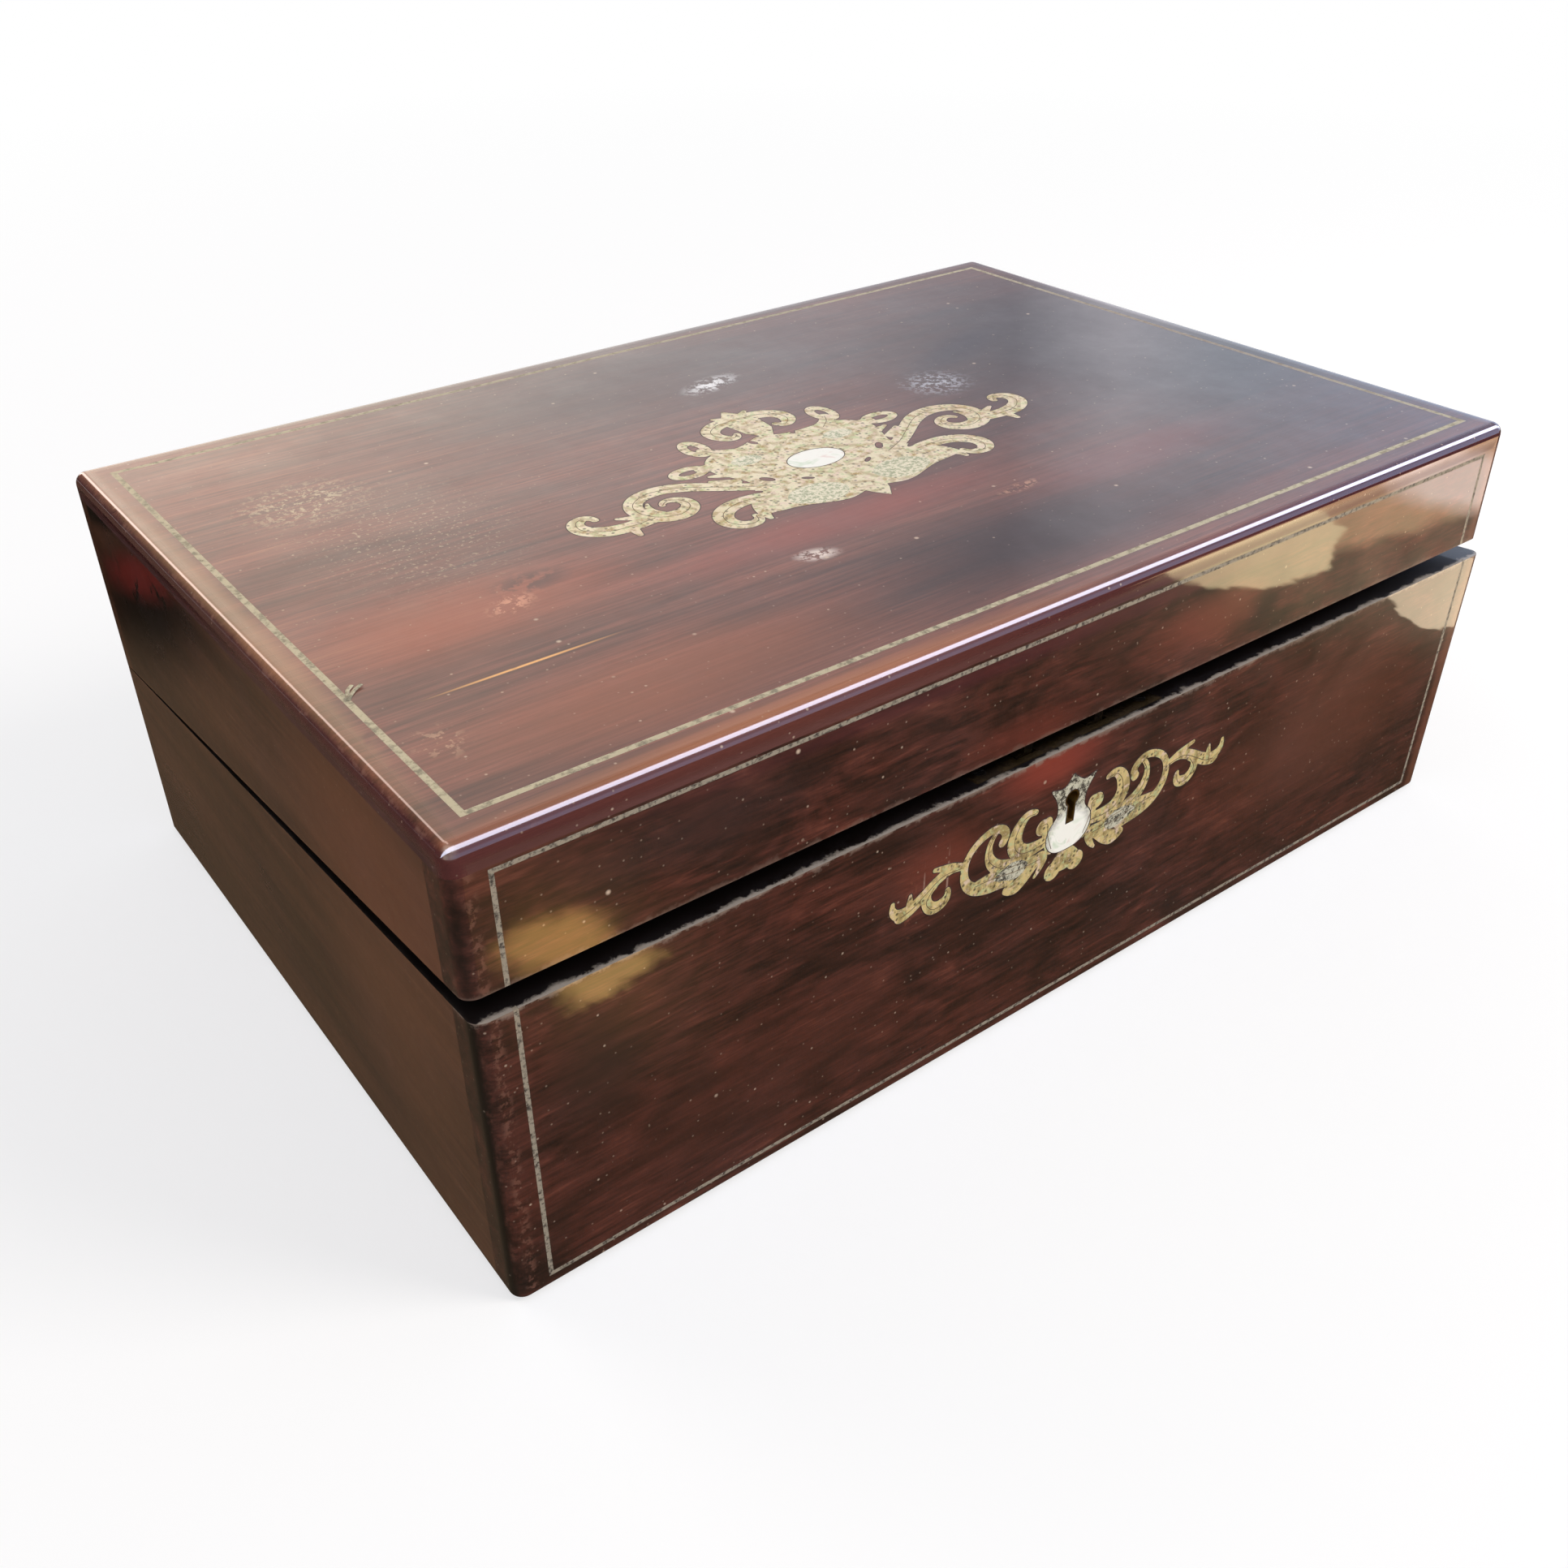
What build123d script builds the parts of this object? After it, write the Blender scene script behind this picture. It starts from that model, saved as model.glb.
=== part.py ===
from build123d import *
import math
import os

# Victorian writing slope: a rosewood box split on a slant into base and lid, with brass and pearl inlay.
# Frame: millimetres, +Z up, lock side at -Y, hinges at +Y, origin on the table under the base's middle.
# The lid stands ajar at rest, as such a box does when its catch is off.

os.makedirs("parts", exist_ok=True)

# Carcase
width = 356.0
depth = 238.0
height = 127.0
split_rise = 26.0        # how much higher the split is at the lock side than at the hinges
side_wall = 9.0
front_wall = 10.0
back_wall = 9.0
top_board = 7.0
bottom_board = 6.0
baize_thickness = 1.0
baize_inset = 2.0
corner_radius = 3.6
top_edge_radius = 3.4
foot_edge_radius = 1.0
rim_gap = 0.3            # between the two rims when shut
lid_setback = 1.9        # old shrinkage: the lid's front stands behind the base's front
ajar_angle = 1.1
hinge_offset = 0.5       # hinge axis behind the carcase

# Brass stringing
string_width = 1.7
front_string_width = 1.2
string_depth = 1.2
border_inset = 9.5       # from the carcase's edge to the middle of the line
lid_front_drop = 8.3     # from the lid's top to the line on its front
foot_line_height = 4.8

# Inlay
inlay_depth = 1.0
inlay_shift = -3.0       # the inlays were let in a little left of the middle
cartouche_shift_y = 0.0
cartouche_length = 165.4
pearl_center_y = -8.0
pearl_radius_x = 9.5
pearl_radius_y = 6.3
escutcheon_length = 126.2
escutcheon_shift = -1.0  # further left than the cartouche

# Lock
lock_drop = 17.0         # from the rim to the key's pin
lock_half_width = 26.0
lock_height = 31.0
lock_cover = 3.0         # wood left in front of the case
lock_wall = 1.0
key_head_radius = 2.1
key_slot_width = 2.0
key_slot_length = 7.5
key_pin_radius = 0.8
liner_wall = 0.5
selvedge_thickness = 1.5
selvedge_half_length = 34.0
selvedge_edge = 2.2      # wood left outside the plate
hook_spacing = 26.0
hook_thickness = 3.0
hook_width = 2.6
hook_nose = 3.0
hook_length = 6.6
nose_thickness = 1.8     # noses and fingers are thin, so that the ajar lid's noses clear the fingers
bolt_throw = 3.3
bolt_thickness = 3.2
bolt_bar = 3.6
bolt_arm = 2.5
bolt_finger = 1.6
lock_clearance = 0.3
slot_clearance = 0.6

# Butt hinges
hinge_inset = 62.0       # from the box's side to the hinge's middle
hinge_length = 45.0
leaf_width = 7.5
leaf_thickness = 1.4
knuckle_count = 5
knuckle_radius = 2.2
knuckle_gap = 0.3
pin_radius = 1.0
running_fit = 0.05
knuckle_room = 0.4
screw_head_radius = 1.9
screw_head_height = 1.1
screw_shank_radius = 0.9
screw_length = 7.0
screw_pitch = 15.0
lock_screw_inset = 4.5

# Writing flaps
flap_thickness = 6.0
leather_thickness = 0.8
leather_margin = 3.0
flap_drop = 0.8          # from the rim down to the leather
seat_gap = 1.2
flap_side_gap = 0.8
pivot_radius = 1.5
pivot_in_wall = 4.0
pivot_in_flap = 9.0
pivot_end_gap = 0.4
tab_thickness = 0.6
tab_width = 14.0
tab_length = 22.0
bearer_width = 6.0
bearer_height = 8.0

# Pen compartment and ink
compartment_depth = 46.0
partition_riser = 3.5
partition_seat = 5.0
riser_drop = 0.6
ink_well_width = 40.0
ink_forward = 4.0        # the bottles stand this far in front of the compartment's middle
divider_thickness = 4.0
divider_drop = 2.5
tray_gap = 0.5
tray_height = 16.0
tray_drop = 5.5          # from the rim at the partition down to the tray's top
trough_width = 37.0
trough_depth = 11.0
tray_end = 8.0
tray_rest = 4.0
bottle_size = 34.0
bottle_height = 42.0
bottle_corner = 5.0
bottle_wall = 4.5
bottle_shoulder = 3.0
neck_radius = 10.0
neck_height = 6.0
mouth_radius = 6.5
collar_wall = 1.8
collar_fit = 0.05
collar_height = 5.0
cap_skirt = 2.4
cap_dome = 4.0
cap_gap = 0.3
cap_overhang = 0.6
cap_knuckle_radius = 1.6
cap_knuckle_length = 5.0
cap_pin_radius = 0.7
cap_knuckle_gap = 0.2

# Places that follow from the sizes above
half_width = width / 2
half_depth = depth / 2
hinge_y = half_depth + hinge_offset
hinge_z = height / 2                       # so that the opened lid lies level with the base
slant = math.atan2(split_rise, depth)
sin_a = math.sin(slant)
cos_a = math.cos(slant)
rim = rim_gap / 2
inner_x = half_width - side_wall
inner_front = -half_depth + front_wall
inner_back = half_depth - back_wall
floor_z = baize_thickness + bottom_board
lid_front = -half_depth + lid_setback
lid_inner_front = lid_front + front_wall
lock_x = inlay_shift + escutcheon_shift
leather_level = rim + flap_drop
board_level = leather_level + leather_thickness
seat_level = board_level + flap_thickness + seat_gap
big = 4 * (width + depth + height)

# The split plane's own frame: its Z is square to the slant, its Y runs along the slant to the back
split_plane = Plane(origin=(0, hinge_y, hinge_z), x_dir=(1, 0, 0), z_dir=(0, sin_a, cos_a))

nodes = {}


def split_z(y, level=0.0):
    """Height of the split plane at y, moved by level along its own normal."""
    return hinge_z + (hinge_y - y) * sin_a / cos_a + level / cos_a


def block(x0, x1, y0, y1, z0, z1):
    """A box between two corners."""
    middle = Pos((x0 + x1) / 2, (y0 + y1) / 2, (z0 + z1) / 2)
    return middle * Box(x1 - x0, y1 - y0, z1 - z0)


def slab(low, high):
    """Everything between two levels over the split plane."""
    return split_plane * Pos(0, 0, (low + high) / 2) * Box(big, big, high - low)


def bar_x(x0, x1, points):
    """A bar along X whose section is given as (y, z) points."""
    face = Plane.YZ * make_face(Polyline(*points, close=True))
    return Pos(x0, 0, 0) * extrude(face, x1 - x0, dir=(1, 0, 0))


def rod_x(x0, x1, y, z, radius):
    """A round rod along X."""
    return Pos((x0 + x1) / 2, y, z) * Rot(Y=90) * Cylinder(radius, x1 - x0)


def both_sides(shape):
    """The shape and its mirror image on the other side of the box."""
    return [shape, mirror(shape, about=Plane.YZ)]


def joined(shapes):
    """One compound of separate solids."""
    solids = [solid for shape in shapes for solid in shape.solids()]
    return Compound(solids)


def cut(shape, *tools):
    """The shape less every tool."""
    for tool in tools:
        for solid in tool.solids():
            shape = shape - solid
    return shape


def carcase(front, low, top_radius, foot_radius):
    """The whole box from low to its top, with rounded upright corners."""
    body = block(-half_width, half_width, front, half_depth, low, height)
    body = fillet(body.edges().filter_by(Axis.Z), corner_radius)
    if top_radius:
        body = fillet(body.faces().sort_by(Axis.Z)[-1].edges(), top_radius)
    if foot_radius:
        body = fillet(body.faces().sort_by(Axis.Z)[0].edges(), foot_radius)
    return body


# Scrollwork: each scroll is a stroke along a curve, wide in the middle and narrow at its curl

def stroke(path, widths, samples=4):
    """A flat scroll along a curve through the points, with its width given at each point."""
    line = Spline(*path)
    count = (len(path) - 1) * samples
    knots = [line.param_at_point(Vector(*point)) for point in path]
    left, right = [], []
    for step in range(count + 1):
        share = step / count
        span = max(i for i in range(len(knots) - 1) if knots[i] <= share + 1e-9)
        part = (share - knots[span]) / (knots[span + 1] - knots[span])
        half = (widths[span] + (widths[span + 1] - widths[span]) * min(part, 1.0)) / 2
        point, along = line @ share, line % share
        side = Vector(-along.Y, along.X) * half
        left.append(point + side)
        right.append(point - side)
    start_tip = line @ 0 - (line % 0) * (widths[0] / 2)
    end_tip = line @ 1 + (line % 1) * (widths[-1] / 2)
    edges = [
        Spline(*left),
        ThreePointArc(left[-1], end_tip, right[-1]),
        Spline(*reversed(right)),
        ThreePointArc(right[0], start_tip, left[0]),
    ]
    return make_face(Wire(edges))


def pebble(points):
    """A flat shape with a smooth closed outline."""
    return make_face(Spline(*points, periodic=True))


def ring(center, outer, inner, turn=0.0):
    """A flat oval ring."""
    return Pos(*center) * Rot(Z=turn) * (Ellipse(*outer) - Ellipse(*inner))


def ornament(middle, halves):
    """A flat ornament: pieces on the middle line, and pieces that stand on both sides of it."""
    face = Sketch()
    for piece in middle:
        face += piece
    for piece in halves:
        face += piece
        face += mirror(piece, about=Plane.YZ)
    return face


# Both inlays are drawn in millimetres at these lengths from tip to tip
cartouche_drawn = 165.4
escutcheon_drawn = 126.2

cartouche_art = ornament(
    middle=[
        make_face(Polyline((0, 12), (5.0, 20), (6.0, 29), (3.6, 35), (0, 40), (-3.6, 35), (-6.0, 29),
                           (-5.0, 20), close=True)),
        pebble([(0, 15.5), (12, 13), (24, 12), (30, 4), (28, -5), (26, -13), (32, -20), (36, -30),
                (26, -32.5), (17, -35.5), (9, -37), (3.4, -35.4), (0, -35), (-3.4, -35.4), (-9, -37),
                (-17, -35.5), (-26, -32.5), (-36, -30), (-32, -20), (-26, -13), (-28, -5), (-30, 4),
                (-24, 12), (-12, 13)]),
        make_face(Polyline((5, -33), (3.2, -37.5), (0, -42), (-3.2, -37.5), (-5, -33), close=True)),
    ],
    halves=[
        stroke([(2.5, 31.6), (8, 31), (12.6, 27.6), (13.0, 22.8), (9.8, 19.6), (7.2, 21.4)],
               [6.0, 6.4, 6.2, 5.4, 4.0, 2.4]),
        stroke([(2, 33), (6, 36)], [3.6, 1.8]),
        stroke([(17, 10), (21, 13.5), (23, 17)], [7.0, 5.0, 4.0]),
        ring((24, 19.5), (4.4, 7.0), (1.3, 3.2)),
        stroke([(24, 4), (31, 5.5)], [7.0, 5.0]),
        ring((35.5, 5.6), (6.6, 4.4), (3.2, 1.3)),
        stroke([(20, -17), (28, -13), (36, -7), (44, -1.4), (53, 0.4), (60, -3.2), (61.8, -9),
                (59, -14.6), (53, -16.6), (48.2, -13.8), (47.6, -9.6), (51, -7), (54, -8.8)],
               [5.0, 5.2, 5.8, 6.2, 6.0, 5.6, 5.8, 6.6, 6.6, 5.6, 4.4, 3.2, 2.0]),
        stroke([(57.6, -13.4), (58.2, -9.6), (56.8, -5.4)], [4.4, 2.8, 1.2]),
        stroke([(60, -14.4), (67, -15), (74.4, -14), (79.6, -9.4), (79.0, -4.6), (75.8, -3.0),
                (73.6, -5.6)],
               [5.4, 6.0, 6.6, 6.0, 5.0, 3.8, 2.6]),
        stroke([(68.4, -15), (68.9, -21)], [4.2, 2.0]),
        stroke([(63.4, -11.6), (68.6, -8.8)], [3.6, 1.6]),
        stroke([(28, -21), (37, -20.4), (44, -23.6), (46.2, -28.8), (43.8, -33), (39.4, -33.2),
                (37.8, -30)],
               [5.0, 6.0, 6.2, 6.0, 5.0, 3.8, 2.4]),
        stroke([(30, -24), (34, -28), (35.6, -33.8)], [8.0, 5.0, 1.8]),
        stroke([(29, -8), (34.4, -3.6)], [4.4, 1.8]),
        stroke([(26, -3), (32.4, -0.6)], [4.6, 1.8]),
    ],
)
cartouche_art -= ornament(
    middle=[],
    halves=[
        Pos(20.6, -12) * Rot(Z=55) * Ellipse(2.3, 1.1),
        Pos(11.0, -18.4) * Rot(Z=35) * Ellipse(1.8, 0.7),
        Pos(29.0, -17.2) * Rot(Z=25) * Ellipse(2.4, 0.8),
        Pos(7.4, 13.2) * Rot(Z=70) * Ellipse(1.9, 0.8),
    ],
)

cartouche_leaves = [
    pebble([(6, -27), (10, -23.5), (17, -22.5), (23, -25), (25, -29), (21, -33), (14, -35), (8, -33)]),
    Pos(17, 3) * Ellipse(5.0, 3.2),
]

# The escutcheon is drawn from the keyhole's round head
shield_art = pebble([(0, 7.8), (2.2, 5.8), (5.0, 4.6), (8.4, 5.4), (6.8, 2.6), (5.4, -0.6),
                     (5.4, -4.0), (7.4, -6.6), (8.5, -10.2), (7.5, -13.9), (4.4, -16.4), (0, -17.0),
                     (-4.4, -16.4), (-7.5, -13.9), (-8.5, -10.2), (-7.4, -6.6), (-5.4, -4.0),
                     (-5.4, -0.6), (-6.8, 2.6), (-8.4, 5.4), (-5.0, 4.6), (-2.2, 5.8)])

escutcheon_art = ornament(
    middle=[
        pebble([(0, -14.8), (4, -18.0), (5.6, -21), (3.2, -23.4), (0, -24.2), (-3.2, -23.4), (-5.6, -21),
                (-4, -18.0)]),
    ],
    halves=[
        Pos(4.4, -22.6) * Circle(3.2),
        stroke([(6, -13.8), (8.0, -8.6), (8.6, -4.4)], [4.4, 4.4, 3.8]),
        Pos(10.2, -5.2) * Circle(2.7),
        stroke([(13.6, 1.2), (17.2, 1.2), (19.8, -2), (20.4, -6.4), (18.0, -9.8), (13.6, -10.8),
                (8.4, -10.4)],
               [2.0, 3.4, 4.8, 5.6, 5.6, 4.8, 4.0]),
        stroke([(25.0, -3.4), (24.4, -0.4), (27.0, 1.8), (32.6, 1.2), (36.8, -2.2), (38.2, -6.8),
                (37.0, -11.6), (33.4, -14.8), (27.6, -16.6), (21.0, -17.8)],
               [3.2, 3.0, 2.8, 2.6, 2.6, 2.8, 3.4, 4.2, 4.4, 3.4]),
        stroke([(28.0, 0.4), (29.8, -3.2), (28.8, -8), (23.6, -12.2), (17.6, -13.2)],
               [1.8, 2.4, 3.8, 5.2, 4.0]),
        stroke([(34.0, -13.4), (27.0, -13.8), (19.0, -15.2), (10.0, -15.4)], [2.4, 4.4, 5.4, 4.6]),
        stroke([(10.0, -15.8), (14.6, -18.8), (18.6, -21.2), (21.8, -20.8)], [3.4, 4.6, 5.0, 3.2]),
        stroke([(8.4, -16.4), (9.8, -19.2), (11.4, -21.2)], [2.8, 2.4, 1.4]),
        stroke([(38.0, -5.2), (42.6, -3.2), (48.6, -1.4)], [2.4, 2.8, 1.6]),
        stroke([(39.0, -4.8), (45.6, -4.4), (51.2, -7.4), (55.6, -10), (59.2, -10.8)],
               [2.6, 3.4, 3.6, 4.2, 4.8]),
        stroke([(56.6, -9.6), (56.4, -5.8)], [3.0, 1.4]),
        stroke([(59.2, -10.4), (61.8, -8.6), (62.2, -5.8)], [4.2, 2.8, 1.6]),
        stroke([(48.4, -6.6), (50.8, -10.4), (48.4, -13.6), (44.8, -13.2), (43.6, -10)],
               [2.6, 3.6, 4.2, 3.8, 2.0]),
    ],
)
shield_leaf = pebble([(15, -14.3), (19, -12.2), (24, -12.8), (27, -14.8), (23.5, -16.8), (19, -18.2),
                      (16, -17.2)])

# Outer carcase, cut on the slant into base and lid
base_block = carcase(-half_depth, baize_thickness, 0, foot_edge_radius) & slab(-big / 4, -rim)
lid_block = carcase(lid_front, baize_thickness, top_edge_radius, 0) & slab(rim, big / 4)
lid_under = height - top_board

base_front = base_block & block(-big, big, -big, inner_front, 0, big)
base_back = base_block & block(-big, big, inner_back, big, 0, big)
base_left = base_block & block(-big, -inner_x, inner_front, inner_back, 0, big)
base_right = base_block & block(inner_x, big, inner_front, inner_back, 0, big)

lid_top = lid_block & block(-big, big, -big, big, lid_under, big)
lid_walls = lid_block & block(-big, big, -big, big, 0, lid_under)
lid_front_wall = lid_walls & block(-big, big, -big, lid_inner_front, 0, big)
lid_back_wall = lid_walls & block(-big, big, inner_back, big, 0, big)
lid_left = lid_walls & block(-big, -inner_x, lid_inner_front, inner_back, 0, big)
lid_right = lid_walls & block(inner_x, big, lid_inner_front, inner_back, 0, big)

nodes["base_bottom_board"] = block(-inner_x, inner_x, inner_front, inner_back, baize_thickness, floor_z)
nodes["base_baize"] = block(-half_width + baize_inset, half_width - baize_inset,
                            -half_depth + baize_inset, half_depth - baize_inset, 0, baize_thickness)

# Brass stringing let into the faces
line_x = half_width - border_inset


def frame_line(x0, x1, z0, z1, thickness):
    """A flat rectangular frame in the XZ plane, z1 being its top; y runs from 0 to the string's depth."""
    half = thickness / 2
    outer = block(x0 - half, x1 + half, 0, string_depth, z0 - half, z1 + half)
    return outer - block(x0 + half, x1 - half, 0, string_depth, z0 + half, z1 - half)


top_line = Pos(0, 0, height) * Rot(X=-90) * frame_line(
    -line_x, line_x, lid_front + border_inset, half_depth - border_inset, string_width)
lid_line = Pos(0, lid_front, 0) * frame_line(
    -line_x, line_x, 0, height - lid_front_drop, front_string_width)
lid_line &= slab(rim, big / 4)
foot_line = Pos(0, -half_depth, 0) * frame_line(
    -line_x, line_x, foot_line_height, 2 * height, front_string_width)
foot_line &= slab(-big / 4, -rim)

# Inlays: pearl let into brass, brass let into the wood


def inlaid(place, size, *art):
    """Flat art, scaled to its size on the box and let into a face as solids."""
    return [extrude(place * scale(face, by=size), -inlay_depth) for face in art]


def pearls(shapes):
    """The pearl pieces that stand on both sides of the middle line."""
    return [side for shape in shapes for side in both_sides(shape)]


top_place = Plane(origin=(inlay_shift, cartouche_shift_y, height), x_dir=(1, 0, 0), z_dir=(0, 0, 1))
cartouche_bed, *leaves = inlaid(
    top_place, cartouche_length / cartouche_drawn, cartouche_art, *pearls(cartouche_leaves))
oval = inlaid(top_place * Pos(0, pearl_center_y, 0), 1.0, Ellipse(pearl_radius_x, pearl_radius_y))
lid_pearl = joined(oval + leaves)
cartouche = cut(cartouche_bed, lid_pearl)

# Box lock, let into the inside of the base's front
lock_y = -half_depth + lock_cover + (front_wall - lock_cover) / 2
rim_z = split_z(lock_y)
pin_z = rim_z - lock_drop
case_front = -half_depth + lock_cover
case_low = rim_z - lock_height
under_plate = -rim - selvedge_thickness
case_outer = block(lock_x - lock_half_width, lock_x + lock_half_width, case_front, inner_front,
                   case_low, height) & slab(-big / 4, under_plate)
case_inner = block(lock_x - lock_half_width + lock_wall, lock_x + lock_half_width - lock_wall,
                   case_front + lock_wall, inner_front - lock_wall, case_low + lock_wall, height)


def keyhole(grow, y0, y1):
    """The keyhole's shape as a solid: a round head with a slot under it."""
    head = Pos(lock_x, (y0 + y1) / 2, pin_z) * Rot(X=90) * Cylinder(key_head_radius + grow, y1 - y0)
    slot = block(lock_x - key_slot_width / 2 - grow, lock_x + key_slot_width / 2 + grow, y0, y1,
                 pin_z - key_slot_length - grow, pin_z)
    return head + slot


front_place = Plane(origin=(lock_x, -half_depth, pin_z), x_dir=(1, 0, 0), z_dir=(0, -1, 0))
escutcheon_bed, *shields = inlaid(
    front_place, escutcheon_length / escutcheon_drawn, escutcheon_art, shield_art, *pearls([shield_leaf]))
shield = joined(shields)
scrolls = cut(escutcheon_bed, shield)

hook_places = [lock_x - hook_spacing / 2, lock_x + hook_spacing / 2]
selvedge_bed = slab(under_plate, -rim) & block(
    lock_x - selvedge_half_length, lock_x + selvedge_half_length, -half_depth + selvedge_edge,
    inner_front, 0, big)
selvedge = selvedge_bed
for x in hook_places:
    selvedge -= block(x - hook_thickness / 2 - hook_nose - slot_clearance,
                      x + hook_thickness / 2 + slot_clearance,
                      lock_y - hook_width / 2 - slot_clearance,
                      lock_y + hook_width / 2 + slot_clearance, 0, big)

hook_plate = slab(rim, rim + selvedge_thickness) & block(
    lock_x - selvedge_half_length, lock_x + selvedge_half_length, lid_front + selvedge_edge,
    lid_inner_front, 0, big)
hook_low = rim - hook_length
nose_top = hook_low + nose_thickness
for x in hook_places:
    shank = slab(hook_low, rim + selvedge_thickness) & block(
        x - hook_thickness / 2, x + hook_thickness / 2, lock_y - hook_width / 2,
        lock_y + hook_width / 2, 0, big)
    nose = slab(hook_low, nose_top) & block(
        x - hook_thickness / 2 - hook_nose, x, lock_y - hook_width / 2, lock_y + hook_width / 2, 0, big)
    hook_plate += shank + nose

# The bolt's bar lies under the noses; each arm stands beside a nose and its finger slides over it
bolt_y0 = lock_y - bolt_thickness / 2
bolt_y1 = lock_y + bolt_thickness / 2
finger_low = nose_top + lock_clearance
finger_high = finger_low + bolt_finger
bar_high = hook_low - slot_clearance
tips = [x - hook_thickness / 2 - hook_nose - slot_clearance for x in hook_places]
finger_length = bolt_throw + lock_clearance
bolt = slab(bar_high - bolt_bar, bar_high) & block(
    tips[0] - finger_length - bolt_arm, tips[1], bolt_y0, bolt_y1, 0, big)
for tip in tips:
    arm_x = tip - finger_length
    bolt += slab(bar_high - bolt_bar, finger_high) & block(
        arm_x - bolt_arm, arm_x, bolt_y0, bolt_y1, 0, big)
    bolt += slab(finger_low, finger_high) & block(arm_x - bolt_arm, tip, bolt_y0, bolt_y1, 0, big)

key_pin = Pos(lock_x, (case_front + inner_front) / 2, pin_z) * Rot(X=90) * Cylinder(
    key_pin_radius, inner_front - case_front)
key_pin &= block(-big, big, case_front, inner_front - lock_wall, 0, big)
lock_case = cut(case_outer, case_inner, keyhole(0, -half_depth, inner_front - lock_wall))
liner = keyhole(liner_wall, -half_depth, case_front) - keyhole(0, -half_depth, case_front)


def screw():
    """A countersunk screw, its head's face at z = 0."""
    head = Pos(0, 0, -screw_head_height / 2) * Cone(
        screw_shank_radius, screw_head_radius, screw_head_height)
    shank = Pos(0, 0, -screw_length / 2) * Cylinder(screw_shank_radius, screw_length)
    return head + shank


def rim_screw(x, y, level, up):
    """A screw in a rim, at x, y, with its head flush at level; up drives it into the lid."""
    place = split_plane * Pos(x, (y - hinge_y) / cos_a, level)
    return place * (Rot(X=180) * screw() if up else screw())


screw_x = selvedge_half_length - lock_screw_inset
lock_screws = [rim_screw(lock_x + side * screw_x, lock_y, -rim, False) for side in (-1, 1)]
hook_screws = [rim_screw(lock_x + side * screw_x, lock_y, rim, True) for side in (-1, 1)]

# Butt hinges: five knuckles each, three on the base and two on the lid
hinge_middle = half_width - hinge_inset
knuckle_pitch = hinge_length / knuckle_count
knuckle_hole = pin_radius + running_fit


def leaf(lower):
    """One hinge leaf in the split plane's frame, with the hinge's middle at the origin."""
    sign = -1 if lower else 1
    low, high = sorted((sign * rim, sign * (rim + leaf_thickness)))
    plate = block(-hinge_length / 2, hinge_length / 2, -leaf_width, -knuckle_radius - knuckle_room,
                  low, high)
    for index in range(knuckle_count):
        if (index % 2 == 0) != lower:
            continue
        x0 = -hinge_length / 2 + index * knuckle_pitch + knuckle_gap / 2
        x1 = x0 + knuckle_pitch - knuckle_gap
        plate += block(x0, x1, -knuckle_radius - knuckle_room, 0, low, high)
        plate += rod_x(x0, x1, 0, 0, knuckle_radius)
    hole = pin_radius if lower else knuckle_hole
    return plate - rod_x(-hinge_length, hinge_length, 0, 0, hole)


def leaf_screws(lower):
    """The leaf's row of screws, in the split plane's frame."""
    level = -rim if lower else rim
    row = []
    for step in (-1, 0, 1):
        place = Pos(step * screw_pitch, -(leaf_width + knuckle_radius + knuckle_room) / 2, level)
        row.append(place * (screw() if lower else Rot(X=180) * screw()))
    return row


def at_hinge(shape, side):
    """The shape moved from the split plane's frame to the left or right hinge."""
    return split_plane * Pos(side * hinge_middle, 0, 0) * shape


hinge_room = rod_x(-hinge_length / 2 - knuckle_gap, hinge_length / 2 + knuckle_gap, 0, 0,
                   knuckle_radius + knuckle_room)
base_screws = [at_hinge(item, side) for side in (-1, 1) for item in leaf_screws(True)]
lid_screws = [at_hinge(item, side) for side in (-1, 1) for item in leaf_screws(False)]
for side, name in ((-1, "left"), (1, "right")):
    base_leaf = at_hinge(leaf(True), side)
    lid_leaf = at_hinge(leaf(False), side)
    room = at_hinge(hinge_room, side)
    base_back = cut(base_back, room, base_leaf)
    lid_back_wall = cut(lid_back_wall, room, lid_leaf)
    nodes[f"base_hinge_leaf_{name}"] = cut(base_leaf, *base_screws)
    nodes[f"lid_hinge_leaf_{name}"] = cut(lid_leaf, *lid_screws)
base_back = cut(base_back, *base_screws)
lid_back_wall = cut(lid_back_wall, *lid_screws)
nodes["hinge_pins"] = joined([at_hinge(rod_x(-hinge_length / 2, hinge_length / 2, 0, 0, pin_radius), side)
                              for side in (-1, 1)])
nodes["base_hinge_screws"] = joined(base_screws)
nodes["lid_hinge_screws"] = joined(lid_screws)

# Writing flaps: boards with a rounded edge that turns on pivot pins beside the fold
flap_radius = flap_thickness / 2
pivot_level = board_level + flap_radius
fold_y = (inner_back - hinge_y) / cos_a - pivot_level * sin_a / cos_a - flap_radius - flap_side_gap
partition_back = inner_front + compartment_depth + partition_riser + partition_seat
riser_back = inner_front + compartment_depth + partition_riser
flap_half = inner_x - flap_side_gap


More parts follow.
